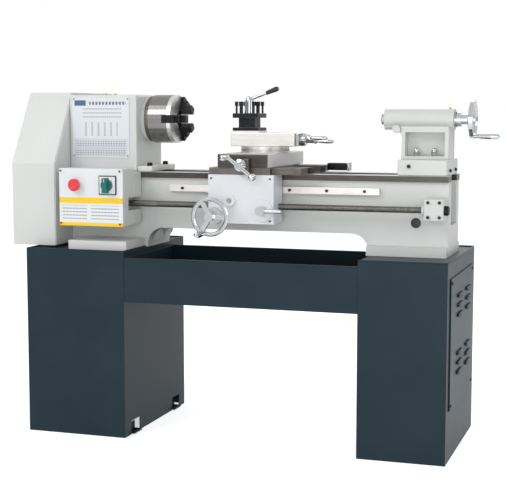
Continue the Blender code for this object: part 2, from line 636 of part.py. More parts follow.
def carriage(body, wheel, pinion, lever, nut):
    low = WAY_TOP + GAP
    saddle = box("saddle", (SADDLE_LEFT, SADDLE_FRONT, low), (SADDLE_RIGHT, 0.215, SADDLE_TOP), "iron", body)
    bridge = box("saddle_bridge", (BRIDGE_LEFT, APRON_FRONT, low), (BRIDGE_RIGHT, SADDLE_BACK, SADDLE_TOP))
    rear = box("saddle_rear", (SADDLE_LEFT, 0.345, low), (SADDLE_RIGHT, SADDLE_BACK, SADDLE_TOP))
    join(saddle, bridge, rear)
    back = APRON_BACK
    apron = box("apron", (APRON_LEFT, APRON_FRONT, APRON_BOTTOM), (APRON_RIGHT, back, WAY_TOP), "panel", body)
    wall = 0.010
    hollow = box(
        "apron_inside",
        (APRON_LEFT + wall, APRON_FRONT + wall, APRON_BOTTOM + wall),
        (APRON_RIGHT - wall, back - wall, WAY_TOP - wall),
    )
    cut(apron, hollow, screw_hole(APRON_LEFT - 0.02, 0.3))
    collars = (
        (WHEEL_X, WHEEL_HEIGHT, 0.009, 0.026, 0.022, 0.09),
        (BOSS_X, BOSS_HEIGHT, 0.008, 0.019, 0.008, 0.20),
        (HALFNUT_X, HALFNUT_HEIGHT, 0.008, HALFNUT_RADIUS, 0.006, 0.09),
    )
    for x, z, radius, collar, proud, deep in collars:
        join(apron, rod("collar", "Y", (x, APRON_FRONT - proud, z), collar, proud + 0.002, sides=40))
        cut(apron, rod("shaft_hole", "Y", (x, 0.02, z), radius + GAP, deep))
    at = (WHEEL_X, WHEEL_FRONT, WHEEL_HEIGHT)
    rim = hand_wheel("apron_handwheel", "Y", at, WHEEL_RADIUS, 0.0065, 0.015, 0.030, "chrome", wheel)
    join(rim, rod("wheel_shaft", "Y", (WHEEL_X, 0.02, WHEEL_HEIGHT), 0.009, 0.085))
    join(rim, rod("wheel_pinion", "Y", (WHEEL_X, 0.092, WHEEL_HEIGHT), 0.014, 0.012))
    angle = math.radians(250)
    reach = WHEEL_RADIUS - 0.007
    knob_at = (WHEEL_X + reach * math.cos(angle), 0, WHEEL_HEIGHT + reach * math.sin(angle))
    turned("wheel_handle", "Y", knob_at, grip_profile(0.0077, -0.062, 0.0105), "chrome", wheel)
    distance = math.hypot(BOSS_X - WHEEL_X, BOSS_HEIGHT - WHEEL_HEIGHT)
    shaft = rod("rack_pinion", "Y", (BOSS_X, APRON_FRONT - 0.010, BOSS_HEIGHT), 0.008, 0.120, "steel", pinion)
    teeth = RACK_TOP - RACK_HEIGHT - BOSS_HEIGHT - GAP
    face = BED_FRONT + WAY_LIP - RACK_THICK
    join(shaft, rod("pinion_teeth", "Y", (BOSS_X, face, BOSS_HEIGHT), teeth, 0.013))
    join(shaft, rod("pinion_gear", "Y", (BOSS_X, 0.092, BOSS_HEIGHT), distance - 0.014 - GAP, 0.012))
    handle = rod("half_nut_lever", "Y", (HALFNUT_X, 0.040, HALFNUT_HEIGHT), 0.008, 0.060, "chrome", lever)
    hub = rod("lever_hub", "Y", (HALFNUT_X, 0.036, HALFNUT_HEIGHT), 0.015, APRON_FRONT - 0.008 - 0.036)
    join(handle, hub, rod("lever_arm", "X", (HALFNUT_X, 0.046, HALFNUT_HEIGHT), 0.006, 0.068))
    z = SCREW_HEIGHT - 0.0085
    half = box("half_nut", (HALFNUT_X - 0.025, SCREW_FRONT - 0.016, z - 0.018), (HALFNUT_X + 0.025, SCREW_FRONT + 0.0195, z), "brass", nut)
    cut(half, rod("nut_thread", "X", (HALFNUT_X - 0.05, SCREW_FRONT, z), SCREW_RADIUS + 0.0007, 0.1))


def grip_profile(start, end, radius):
    """A turned handle running from its seat at start to a rounded end."""
    way = 1 if end > start else -1
    length = abs(end - start)
    points = [(0, 0), (radius * 0.55, 0), (radius * 0.55, 0.08), (radius * 0.8, 0.25), (radius, 0.65), (radius * 0.85, 0.92), (0, 1)]
    made = [(r, start + way * length * share) for r, share in points]
    return made[::-1] if way > 0 else made


# ---- cross slide, swivel, top slide and tool post ----
def slides(fixed, cross, crank, swivel, top, top_crank, post, lever):
    low = SADDLE_TOP + GAP
    slide = box("cross_slide", (CROSS_LEFT, CROSS_FRONT, low), (CROSS_RIGHT, CROSS_FRONT + CROSS_LENGTH, CROSS_TOP), "cream", cross, 0.003)
    tunnel = box("screw_tunnel", (CRANK_X - 0.014, 0, low - 0.01), (CRANK_X + 0.014, 0.40, CRANK_HEIGHT + 0.014))
    cut(slide, tunnel)
    seat = 0.060
    bearing = box("cross_bracket", (CRANK_X - 0.02, 0.040, 0.862), (CRANK_X + 0.02, 0.0615, 0.908), "iron", fixed, 0.002)
    join(bearing, box("bracket_foot", (CRANK_X - 0.02, 0.050, 0.859), (CRANK_X + 0.02, APRON_FRONT - GAP, SADDLE_TOP - 0.001)))
    cut(bearing, rod("bracket_bore", "Y", (CRANK_X, 0, CRANK_HEIGHT), 0.006 + GAP, 0.1))
    at = (CRANK_X, 0, CRANK_HEIGHT)
    profile = [(0, 0.300), (0.006, 0.300), (0.006, 0.0397), (0.019, 0.0397), (0.019, 0.018), (0.010, 0.014)]
    profile += [(0.010, -0.010), (0, -0.010)]
    handle = turned("cross_crank", "Y", at, profile, "chrome", crank)
    ball_crank(handle, "cross", Vector((CRANK_X, -0.002, CRANK_HEIGHT)), Vector((0.046, 0, -0.036)), Vector((-0.034, 0, 0.024)))
    profile = grip_profile(-0.0065, -0.055, 0.009)
    join(handle, turned("cross_grip", "Y", (CRANK_X - 0.034, 0, CRANK_HEIGHT + 0.024), profile))
    base = CROSS_TOP + GAP
    centre = (SWIVEL_X, SWIVEL_Y, 0)
    ring_points = [(0, SWIVEL_TOP), (SWIVEL_RADIUS, SWIVEL_TOP), (SWIVEL_RADIUS, base), (0, base)]
    turned("swivel_base", "Z", centre, ring_points, "steel", swivel, steps=64)
    front = TOP_FRONT
    back = front + TOP_WIDTH
    low = SWIVEL_TOP + GAP
    high = low + TOP_HEIGHT
    body = box("top_slide", (TOP_LEFT, front, low), (TOP_RIGHT, back, high - 0.006), "steel", top, 0.002)
    join(body, box("top_pad", (TOP_LEFT + 0.002, front + 0.001, low + 0.02), (POST_X + POST_SIZE / 2 + 0.002, back - 0.001, high)))
    middle = SWIVEL_Y
    at = (0, middle, TOP_SCREW_HEIGHT)
    cut(body, rod("top_bore", "X", (TOP_LEFT + 0.06, middle, TOP_SCREW_HEIGHT), 0.0065, 0.3, sides=24))
    start = TOP_RIGHT + GAP
    plate = box("top_bracket", (start, middle - 0.030, low + 0.001), (start + 0.010, middle + 0.030, high - 0.008), "steel", top, 0.002)
    cut(plate, rod("plate_bore", "X", (TOP_RIGHT - 0.02, middle, TOP_SCREW_HEIGHT), 0.0065, 0.05, sides=24))
    edge = start + 0.010 + GAP
    profile = [(0, edge + 0.045), (0.011, edge + 0.045), (0.011, edge + 0.018), (0.020, edge + 0.016), (0.020, edge)]
    profile += [(0.006, edge), (0.006, TOP_LEFT + 0.065), (0, TOP_LEFT + 0.065)]
    arm = turned("top_crank", "X", at, profile, "chrome", top_crank)
    spot = Vector((edge + 0.038, middle, TOP_SCREW_HEIGHT))
    ball_crank(arm, "top", spot, Vector((0, -0.040, 0.006)), Vector((0, 0.036, -0.006)))
    for side, rise in ((-0.040, 0.006), (0.036, -0.006)):
        profile = grip_profile(edge + 0.0425, edge + 0.100, 0.007)
        join(arm, turned("top_grip", "X", (0, middle + side, TOP_SCREW_HEIGHT + rise), profile))
    tool_post(top, post, lever, high + GAP)


def ball_crank(piece, name, centre, ball_arm, grip_arm):
    """Joins a slanted arm, a ball at one end and a boss at the other to a crank's hub."""
    whole = ball_arm - grip_arm
    middle = centre + (ball_arm + grip_arm) / 2
    bar = rod(name + "_arm", "Z", (0, 0, 0), 0.0055, whole.length)
    bar.matrix_local = (
        Matrix.Translation(middle) @ whole.to_track_quat("Z", "Y").to_matrix().to_4x4() @ Matrix.Translation((0, 0, -whole.length / 2))
    )
    join(piece, bar)
    for reach, radius in ((ball_arm, 0.012), (grip_arm, 0.0082)):
        shape = bmesh.new()
        bmesh.ops.create_uvsphere(shape, u_segments=16, v_segments=9, radius=radius)
        mesh = bpy.data.meshes.new(name + "_ball")
        shape.to_mesh(mesh)
        shape.free()
        join(piece, new_piece(name + "_ball", mesh, centre + reach, None))


def tool_post(top, post, lever, low):
    half = POST_SIZE / 2
    y = SWIVEL_Y
    high = POST_TOP
    body = box("tool_post", (POST_X - half, y - half, low), (POST_X + half, y + half, high), "black", post, 0.0015)
    waist = half - 0.016
    for side in (-1, 1):
        for turn in (0, 1):
            far = (side * waist, side * (half + 0.01))
            across = (-half - 0.01, half + 0.01)
            xs, ys = (far, across) if turn else (across, far)
            slot_low = (POST_X + min(xs), y + min(ys), low + 0.010)
            cut(body, box("tool_slot", slot_low, (POST_X + max(xs), y + max(ys), high - 0.015)))
    cut(body, rod("post_bore", "Z", (POST_X, y, low - 0.01), 0.011, 0.2))
    rod("post_stud", "Z", (POST_X, y, low), 0.0105, high - low + HUB_RISE - 0.020, "steel", top)
    base = high + GAP
    peak = base + HUB_RISE
    profile = [(0, peak), (0.010, peak - 0.004), (0.0145, peak - 0.014), (0.017, base), (0.0108, base)]
    profile += [(0.0108, peak - 0.0185), (0, peak - 0.0185)]
    hub = turned("clamp_lever", "Z", (POST_X, y, 0), profile, "chrome", lever)
    aim = Vector((0.080, -0.010, 0.028))
    start = Vector((POST_X, y, peak - 0.012)) + aim.normalized() * 0.006
    arm = rod("clamp_arm", "Z", (0, 0, 0), 0.005, 0.060)
    arm.matrix_local = Matrix.Translation(start) @ aim.to_track_quat("Z", "Y").to_matrix().to_4x4()
    join(hub, arm)
    seat = start + aim.normalized() * 0.058
    knob = turned("clamp_grip", "Z", seat, [(0, 0.045), (0.006, 0.045), (0.0085, 0.038), (0.0065, 0), (0, 0)])
    knob.rotation_euler = aim.to_track_quat("Z", "Y").to_euler()
    join(hub, knob)
    for number in range(8):
        side, share = divmod(number, 2)
        angle = math.radians(90 * side)
        along = (share - 0.5) * 0.040
        off = Vector((math.cos(angle), math.sin(angle), 0)) * (half - 0.008)
        off += Vector((-math.sin(angle), math.cos(angle), 0)) * (along + 0.006)
        spot = (POST_X + off.x, y + off.y, high - 0.010)
        head_low = (spot[0] - 0.0045, spot[1] - 0.0045, high + SCREW_RISE - 0.014)
        join(
            body,
            rod("tool_screw", "Z", spot, 0.0036, SCREW_RISE, sides=8),
            box("screw_head", head_low, (spot[0] + 0.0045, spot[1] + 0.0045, high + SCREW_RISE)),
        )


# ---- tailstock ----
def tailstock(body, wheel, quill):
    y = AXIS_Y
    low = WAY_TOP + GAP
    foot = box("tailstock_base", (TAIL_BASE_LEFT, BED_FRONT + 0.004, low), (TAIL_BASE_RIGHT, BED_BACK - 0.004, TAIL_BASE_TOP), "cream", body, 0.003)
    tongue = box("base_tongue", (TAIL_BASE_LEFT + 0.01, BED_FRONT + WAY_WIDTH + 0.003, low - 0.015), (TAIL_BASE_RIGHT - 0.01, BED_BACK - WAY_WIDTH - 0.003, low + 0.01))
    join(foot, tongue)
    base = TAIL_BASE_TOP + GAP
    start = TAIL_BASE_LEFT + 0.002
    points = [(start, base), (TAIL_BASE_RIGHT - 0.004, base), (TAIL_BASE_RIGHT - 0.004, AXIS_Z), (TAIL_LEFT + 0.006, AXIS_Z)]
    points += [(TAIL_LEFT + 0.006, AXIS_Z - 0.025)] + arc((start - 0.034, AXIS_Z - 0.060), 0.036, 80, 0)
    upright = outline("tailstock_body", "Y", (0, y - 0.055, 0), points, 0.110, "cream", body)
    barrel = rod("barrel", "X", (TAIL_LEFT, y, AXIS_Z), BARREL_RADIUS, TAIL_RIGHT - TAIL_LEFT, sides=40)
    for side in (-1, 1):
        near, far = sorted((y + side * 0.026, y + side * 0.08))
        wedge = box("side_relief", (TAIL_LEFT - 0.01, near, AXIS_Z - 0.022), (TAIL_RIGHT + 0.01, far, AXIS_Z + 0.04))
        cut(upright, wedge)
    join(upright, barrel)
    window = box("window", (start + 0.012, y - 0.07, base + 0.010), (TAIL_BASE_RIGHT - 0.016, y - 0.012, AXIS_Z - 0.040))
    cut(upright, window, rod("quill_bore", "X", (TAIL_LEFT - 0.02, y, AXIS_Z), QUILL_RADIUS + GAP, 0.3, sides=40))
    for number, x in enumerate((start + 0.045, start + 0.100)):
        hole = rod("stud_way", "Z", (x, y - 0.034, base - 0.06), 0.0062, 0.08, sides=20)
        cut(upright, hole)
        cut(foot, hole)
        stud = rod(f"clamp_stud_{number + 1}", "Z", (x, y - 0.034, base - 0.040), 0.0059, 0.068, "steel", body, sides=20)
        join(stud, rod("dome_nut", "Z", (x, y - 0.034, base + 0.010 + GAP), 0.010, 0.013, sides=6))
    plug = rod("quill_clamp", "Y", (TAIL_LEFT + 0.047, y - 0.062, AXIS_Z - 0.030), 0.013, 0.020, "steel", body)
    cut(upright, rod("plug_way", "Y", (TAIL_LEFT + 0.047, y - 0.09, AXIS_Z - 0.030), 0.0133, 0.0485))
    plug.name = "quill_clamp"
    tip = TAIL_LEFT - 0.012
    rear = TAIL_RIGHT - 0.030
    at = (0, y, AXIS_Z)
    profile = [(0.0075, rear), (QUILL_RADIUS, rear), (QUILL_RADIUS, tip + 0.002), (QUILL_RADIUS - 0.002, tip), (0.009, tip)]
    turned("quill", "X", at, profile + [(0.006, tip + 0.070), (0.0075, tip + 0.072)], "steel", quill, closed=True)
    edge = TAIL_RIGHT + GAP
    profile = [(0, HANDWHEEL_X + 0.022), (0.013, HANDWHEEL_X + 0.022), (0.016, HANDWHEEL_X), (0.016, edge + 0.020), (0.023, edge + 0.020)]
    profile += [(0.023, edge), (0.0070, edge), (0.0070, tip + 0.075), (0, tip + 0.075)]
    hub = turned("tail_handwheel", "X", at, profile, "chrome", wheel)
    x = HANDWHEEL_X
    radius = HANDWHEEL_RADIUS
    dish = [(radius, x + 0.020), (radius, x + 0.008), (radius - 0.008, x + 0.006), (0.030, x), (0.010, x)]
    dish += [(0.010, x + 0.007), (0.029, x + 0.007), (radius - 0.012, x + 0.014), (radius - 0.009, x + 0.020)]
    join(hub, turned("wheel_dish", "X", at, dish, closed=True, steps=48))
    spot = (0, y - 0.012, AXIS_Z - radius + 0.008)
    turned("tail_handle", "X", spot, grip_profile(x + 0.0205, x + 0.100, 0.0095), "chrome", wheel)


# ---- assembly ----
def assemble():
    axis = (0, AXIS_Y, AXIS_Z)
    spindle = pivot("spindle_axis", axis)
    jaws = [pivot(f"jaw_{number + 1}_slide", axis, spindle) for number in range(3)]
    cover = pivot("cover_hinge", (COVER_RIGHT, COVER_BACK + 0.004, COVER_BOTTOM))
    screw = pivot("leadscrew_axis", (0, SCREW_FRONT, SCREW_HEIGHT))
    idler = pivot("idler_axis", (0, 0, 0))
    motor = pivot("motor_axis", (0, MOTOR_Y, MOTOR_HEIGHT))
    button = pivot("button_axis", (BUTTON_X, 0, CONTROL_HEIGHT))
    knob = pivot("knob_axis", (KNOB_X, 0, CONTROL_HEIGHT))
    stand()
    bed()
    headstock(spindle, jaws)
    drive(cover, spindle, screw, idler, motor)
    control_box(button, knob)
    end = BRACKET_RIGHT + GAP
    profile = [(0, end + 0.014), (0.015, end + 0.014), (0.015, end), (SCREW_RADIUS, end), (SCREW_RADIUS, 0.008), (0, 0.008)]
    turned("leadscrew", "X", (0, SCREW_FRONT, SCREW_HEIGHT), profile, "steel", screw)
    slide = pivot("carriage", (BRIDGE_LEFT, AXIS_Y, WAY_TOP))
    wheel = pivot("apron_wheel_axis", (WHEEL_X, 0, WHEEL_HEIGHT), slide)
    pinion = pivot("pinion_axis", (BOSS_X, 0, BOSS_HEIGHT), slide)
    lever = pivot("half_nut_axis", (HALFNUT_X, 0, HALFNUT_HEIGHT), slide)
    nut = pivot("half_nut_slide", (HALFNUT_X, SCREW_FRONT, SCREW_HEIGHT), slide)
    carriage(slide, wheel, pinion, lever, nut)
    cross = pivot("cross_slide_way", (CRANK_X, 0, CRANK_HEIGHT), slide)
    crank = pivot("cross_crank_axis", (CRANK_X, 0, CRANK_HEIGHT), slide)
    swivel = pivot("swivel_axis", (SWIVEL_X, SWIVEL_Y, CROSS_TOP), cross)
    top = pivot("top_slide_way", (0, SWIVEL_Y, TOP_SCREW_HEIGHT), swivel)
    top_crank = pivot("top_crank_axis", (0, SWIVEL_Y, TOP_SCREW_HEIGHT), top)
    post = pivot("tool_post_axis", (POST_X, SWIVEL_Y, POST_TOP), top)
    clamp = pivot("clamp_lever_axis", (POST_X, SWIVEL_Y, POST_TOP), top)
    slides(slide, cross, crank, swivel, top, top_crank, post, clamp)
    tail = pivot("tailstock", (TAIL_LEFT, AXIS_Y, WAY_TOP))
    tail_wheel = pivot("tail_wheel_axis", axis, tail)
    quill = pivot("quill_axis", axis, tail)
    tailstock(tail, tail_wheel, quill)


assemble()

# the whole machine stands centred on the origin
bpy.context.view_layer.update()
graph = bpy.context.evaluated_depsgraph_get()
corners = [
    piece.evaluated_get(graph).matrix_world @ Vector(corner)
    for piece in machine.objects
    if piece.type == "MESH"
    for corner in piece.evaluated_get(graph).bound_box
]
middle_x = (min(c.x for c in corners) + max(c.x for c in corners)) / 2
middle_y = (min(c.y for c in corners) + max(c.y for c in corners)) / 2
root.location = (-middle_x, -middle_y, -min(c.z for c in corners))
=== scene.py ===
# Bench lathe on a two-cabinet stand: finishes, printed plates, threads, dials and small fittings
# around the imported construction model.
import json
import math

import bmesh
import bpy
from mathutils import Matrix, Vector


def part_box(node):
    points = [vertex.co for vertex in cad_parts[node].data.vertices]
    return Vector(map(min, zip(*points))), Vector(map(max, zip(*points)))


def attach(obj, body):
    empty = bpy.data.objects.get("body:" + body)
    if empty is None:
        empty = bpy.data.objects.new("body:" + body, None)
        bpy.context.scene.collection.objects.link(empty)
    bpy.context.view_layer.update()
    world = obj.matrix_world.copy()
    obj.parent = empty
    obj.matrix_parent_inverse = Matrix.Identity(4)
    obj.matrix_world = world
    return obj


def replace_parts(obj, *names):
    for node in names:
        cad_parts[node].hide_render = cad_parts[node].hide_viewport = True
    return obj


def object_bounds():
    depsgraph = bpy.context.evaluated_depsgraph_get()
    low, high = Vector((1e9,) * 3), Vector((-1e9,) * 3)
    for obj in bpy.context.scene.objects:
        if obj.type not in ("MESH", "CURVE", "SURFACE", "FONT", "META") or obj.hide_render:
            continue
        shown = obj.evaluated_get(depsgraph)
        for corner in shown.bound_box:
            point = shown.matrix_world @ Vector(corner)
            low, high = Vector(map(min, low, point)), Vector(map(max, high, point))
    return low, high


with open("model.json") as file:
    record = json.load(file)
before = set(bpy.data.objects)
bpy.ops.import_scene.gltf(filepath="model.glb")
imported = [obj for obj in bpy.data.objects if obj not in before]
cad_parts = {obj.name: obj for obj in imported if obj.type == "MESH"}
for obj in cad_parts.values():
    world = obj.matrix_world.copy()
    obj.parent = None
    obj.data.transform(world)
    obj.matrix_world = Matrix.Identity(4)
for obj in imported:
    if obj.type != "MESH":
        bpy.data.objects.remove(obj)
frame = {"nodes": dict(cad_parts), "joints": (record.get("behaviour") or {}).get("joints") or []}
nodes = frame["nodes"]
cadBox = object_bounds()
print("frame loaded:", len(nodes), "nodes")


# shader maths: a socket that works with + - * / and comparisons
class Wire:
    def __init__(self, shader, socket):
        self.shader = shader
        self.socket = socket

    def math(self, operation, other, swap=False):
        pair = (other, self) if swap else (self, other)
        return self.shader.add("ShaderNodeMath", {"operation": operation}, *pair)

    def __add__(self, other):
        return self.math("ADD", other)

    def __radd__(self, other):
        return self.math("ADD", other, True)

    def __sub__(self, other):
        return self.math("SUBTRACT", other)

    def __rsub__(self, other):
        return self.math("SUBTRACT", other, True)

    def __mul__(self, other):
        return self.math("MULTIPLY", other)

    def __rmul__(self, other):
        return self.math("MULTIPLY", other, True)

    def __truediv__(self, other):
        return self.math("DIVIDE", other)

    def __lt__(self, other):
        return self.math("LESS_THAN", other)

    def __gt__(self, other):
        return self.math("GREATER_THAN", other)

    def __mod__(self, other):
        return self.math("FLOORED_MODULO", other)

    def over(self, low, high):
        # 0 at low, 1 at high, held in between
        settings = {"clamp": True}
        return self.shader.add("ShaderNodeMapRange", settings, self, low, high, 0.0, 1.0)


class Shader:
    def __init__(self, name):
        self.material = bpy.data.materials.new(name)
        self.material.use_nodes = True
        self.tree = self.material.node_tree
        self.bsdf = self.tree.nodes["Principled BSDF"]
        self.place = self.add("ShaderNodeTexCoord", {}, out="Object")

    def add(self, kind, settings, *values, out=0, **named):
        node = self.tree.nodes.new(kind)
        for key, value in settings.items():
            setattr(node, key, value)
        for place, value in list(enumerate(values)) + list(named.items()):
            self.plug(node.inputs[place], value)
        return Wire(self, node.outputs[out])

    def plug(self, socket, value):
        if isinstance(value, Wire):
            self.tree.links.new(value.socket, socket)
        elif value is not None:
            socket.default_value = value

    def noise(self, scale, detail=3.0, rough=0.5, stretch=(1, 1, 1)):
        at = self.add("ShaderNodeMapping", {}, Vector=self.place, Scale=stretch)
        named = {"Vector": at, "Scale": scale, "Detail": detail, "Roughness": rough}
        return self.add("ShaderNodeTexNoise", {}, **named)

    def blendColours(self, share, first, second):
        mixed = self.tree.nodes.new("ShaderNodeMix")
        mixed.data_type = "RGBA"
        self.plug(mixed.inputs["Factor"], share)
        for name, colour in (("A", first), ("B", second)):
            socket = [s for s in mixed.inputs if s.name == name and s.type == "RGBA"][0]
            self.plug(socket, colour if isinstance(colour, Wire) else (*colour, 1))
        return Wire(self, [s for s in mixed.outputs if s.type == "RGBA"][0])

    def axes(self):
        split = self.tree.nodes.new("ShaderNodeSeparateXYZ")
        self.plug(split.inputs[0], self.place)
        return [Wire(self, socket) for socket in split.outputs]

    def relief(self, height, distance, round=0.0015):
        rounded = self.add("ShaderNodeBevel", {"samples": 4}, round)
        named = {"Strength": 1.0, "Distance": distance, "Height": height, "Normal": rounded}
        return self.add("ShaderNodeBump", {}, **named)

    def edges(self, width):
        # 1 on corners and edges, 0 on flat faces
        rounded = self.add("ShaderNodeBevel", {"samples": 4}, width)
        flat = self.add("ShaderNodeNewGeometry", {}, out="Normal")
        dot = {"operation": "DOT_PRODUCT"}
        turn = self.add("ShaderNodeVectorMath", dot, rounded, flat, out="Value")
        return (1 - turn).over(0.02, 0.2)

    def finish(self, colour, roughness, normal=None, metallic=0.0, **more):
        named = {"Base Color": colour, "Roughness": roughness, "Metallic": metallic, "Normal": normal}
        for name, value in {**named, **more}.items():
            if isinstance(value, tuple) and len(value) == 3:
                value = (*value, 1)
            self.plug(self.bsdf.inputs[name], value)
        return self.material


# paints
def paint(name, colour, worn, roughness, grain, edgeShare=0.25, gloss=0.5):
    s = Shader(name)
    orangePeel = s.noise(420, 2)
    cloud = s.noise(5, 4, 0.6)
    scuffs = s.noise(38, 6, 0.7).over(0.60, 0.78)
    tone = s.blendColours(cloud.over(0.3, 0.75) * 0.35, colour, worn)
    tone = s.blendColours(scuffs * 0.16, tone, worn)
    tone = s.blendColours(s.edges(0.002) * edgeShare, tone, worn)
    rough = roughness + cloud * 0.10 + scuffs * 0.10
    return s.finish(tone, rough, s.relief(orangePeel, grain), **{"Specular IOR Level": gloss})


# ground and turned metals
def metal(name, colour, dark, roughness, stretch, marks=0.5, radius=0.0008):
    s = Shader(name)
    lines = s.noise(260, 3, 0.7, stretch)
    stain = s.noise(14, 5, 0.65)
    share = lines.over(0.35, 0.7) * marks + stain.over(0.45, 0.8) * 0.35
    tone = s.blendColours(share, colour, dark)
    tone = s.blendColours(s.edges(0.001) * 0.3, tone, (0.85, 0.85, 0.84))
    rough = roughness + lines * 0.12 + stain.over(0.4, 0.8) * 0.08
    return s.finish(tone, rough, s.relief(lines, 0.00004, round=radius), 1.0)


def plastic(name, colour, roughness, coat=0.0):
    s = Shader(name)
    grain = s.noise(700, 2)
    dust = s.noise(60, 4, 0.7)
    tone = s.blendColours(dust.over(0.55, 0.85) * 0.12, colour, (0.5, 0.5, 0.5))
    rough = roughness + grain * 0.06 + dust * 0.08
    return s.finish(tone, rough, s.relief(grain, 0.00003, round=0.0012), **{"Coat Weight": coat})


# casting tones: the paint, a painted dark reflection for machined faces, and a painted highlight for their
# top strip
castingTones = {
    "paint": ((0.655, 0.672, 0.660), (0.560, 0.572, 0.548)),
    "dark": ((0.115, 0.105, 0.098), (0.035, 0.031, 0.028)),
    "polished": ((0.60, 0.60, 0.61), (0.34, 0.34, 0.34)),
}


def paintedCasting(name, bare, bright):
    # a casting with machined faces: bare is 1 on those faces, and bright is 1 where they get a painted
    # highlight; elsewhere the machined faces get a painted dark reflection
    s = Shader(name)
    mask = bare(*s.axes())
    orangePeel = s.noise(420, 2)
    cloud = s.noise(5, 4, 0.6)
    scuffs = s.noise(38, 6, 0.7).over(0.60, 0.78)
    lines = s.noise(260, 3, 0.7, (0.04, 1, 1))
    stain = s.noise(9, 5, 0.65).over(0.4, 0.75)
    cuts = lines.over(0.35, 0.7)
    painted = s.blendColours(cloud.over(0.3, 0.75) * 0.3 + scuffs * 0.16, *castingTones["paint"])
    # painted dark reflection on the machined faces and painted highlight on their top strip, each with
    # cutting lines and stains
    dark = s.blendColours(cuts * 0.5 + stain * 0.4, *castingTones["dark"])
    polished = s.blendColours(cuts * 0.4 + stain * 0.3, *castingTones["polished"])
    machined = s.blendColours(bright(*s.axes()), dark, polished)
    tone = s.blendColours(mask, painted, machined)
    rough = 0.34 + cloud * 0.08 + scuffs * 0.1 - mask * 0.06
    height = orangePeel * (1 - mask) + lines * mask * 0.5
    return s.finish(tone, rough, s.relief(height, 0.00008), mask * 0.92)


print("making finishes")
slate = paint("slatePaint", (0.0085, 0.0230, 0.0340), (0.026, 0.046, 0.060), 0.34, 0.00006, gloss=0.22)
cream = paint("creamPaint", (0.655, 0.672, 0.660), (0.560, 0.572, 0.548), 0.34, 0.00008, 0.4)
panelGrey = paint("panelPaint", (0.735, 0.760, 0.785), (0.650, 0.675, 0.695), 0.30, 0.00004, 0.2)
motorBlue = paint("motorPaint", (0.070, 0.095, 0.120), (0.110, 0.130, 0.150), 0.40, 0.0001)
ground = metal("groundSteel", (0.56, 0.56, 0.55), (0.30, 0.29, 0.28), 0.26, (0.04, 1, 1))
pale = metal("paleSteel", (0.80, 0.785, 0.765), (0.56, 0.54, 0.52), 0.36, (0.04, 1, 1), 0.35)
screwSteel = metal("screwSteel", (0.24, 0.23, 0.22), (0.07, 0.065, 0.06), 0.26, (0.5, 0.5, 0.5), 0.4)
turnedSteel = metal("turnedSteel", (0.30, 0.295, 0.285), (0.11, 0.108, 0.104), 0.24, (1, 0.06, 0.06), 0.6)
iron = metal("machinedIron", (0.20, 0.185, 0.17), (0.065, 0.056, 0.050), 0.36, (0.05, 0.6, 1))
blackSteel = metal("blackSteel", (0.035, 0.036, 0.040), (0.012, 0.012, 0.013), 0.34, (0.3, 0.3, 1))
chrome = metal("chromePlate", (0.66, 0.67, 0.69), (0.44, 0.45, 0.47), 0.09, (0.5, 0.5, 0.5), 0.15)
brass = metal("brassPlain", (0.60, 0.43, 0.16), (0.34, 0.23, 0.09), 0.28, (0.05, 1, 1))
blackPlastic = plastic("blackPlastic", (0.020, 0.020, 0.022), 0.34)
redPlastic = plastic("redPlastic", (0.76, 0.030, 0.045), 0.20, 0.3)
tealPlastic = plastic("tealPlastic", (0.0, 0.135, 0.120), 0.26, 0.2)
rubber = plastic("beltRubber", (0.022, 0.022, 0.022), 0.75)

# what each construction node is made of
finishes = {
    slate: "left_cabinet right_cabinet louvre_panel chip_tray",
    cream: "leadscrew_bracket headstock bearing_cap gear_case_back gear_cover electrical_box feed_box "
    "tailstock_base tailstock_body",
    panelGrey: "apron",
    pale: "top_slide feed_rack swivel_base",
    ground: "idler_stud top_bracket post_stud clamp_stud_1 clamp_stud_2 quill_clamp "
    "rack_pinion quill",
    screwSteel: "leadscrew",
    turnedSteel: "rear_bearing front_bearing spindle spindle_gear idler_gear leadscrew_gear",
    iron: "chuck_backplate spindle_pulley motor_pulley saddle cross_bracket",
    chrome: "apron_handwheel wheel_handle half_nut_lever cross_crank top_crank tail_handwheel tail_handle",
    blackSteel: "chuck_jaw_1 chuck_jaw_2 chuck_jaw_3 tool_post",
    blackPlastic: "switch_plate",
    redPlastic: "stop_button",
    tealPlastic: "switch_knob",
    rubber: "drive_belt",
    brass: "half_nut",
    motorBlue: "motor_case",
}


def wearFinish(obj, finish):
    obj.data.materials.clear()
    obj.data.materials.append(finish)
    for face in obj.data.polygons:
        face.material_index = 0


for finish, names in finishes.items():
    for name in names.split():
        wearFinish(nodes[name], finish)


# where things are
def low(name):
    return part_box(name)[0]


def high(name):
    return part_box(name)[1]


def middle(name):
    return (low(name) + high(name)) / 2


jointPlace = {joint["name"]: Vector(joint["pos_m"]) for joint in frame["joints"] if "pos_m" in joint}


# mesh builders
def newPiece(name, mesh, finish, body):
    obj = bpy.data.objects.new(name, mesh)
    bpy.context.scene.collection.objects.link(obj)
    obj.data.materials.clear()
    obj.data.materials.append(finish)
    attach(obj, body)
    return obj


def fromShape(name, shape, finish, body, smooth=30):
    bmesh.ops.recalc_face_normals(shape, faces=shape.faces)
    mesh = bpy.data.meshes.new(name)
    shape.to_mesh(mesh)
    shape.free()
    mesh.shade_smooth()
    mesh.set_sharp_from_angle(angle=math.radians(smooth))
    return newPiece(name, mesh, finish, body)


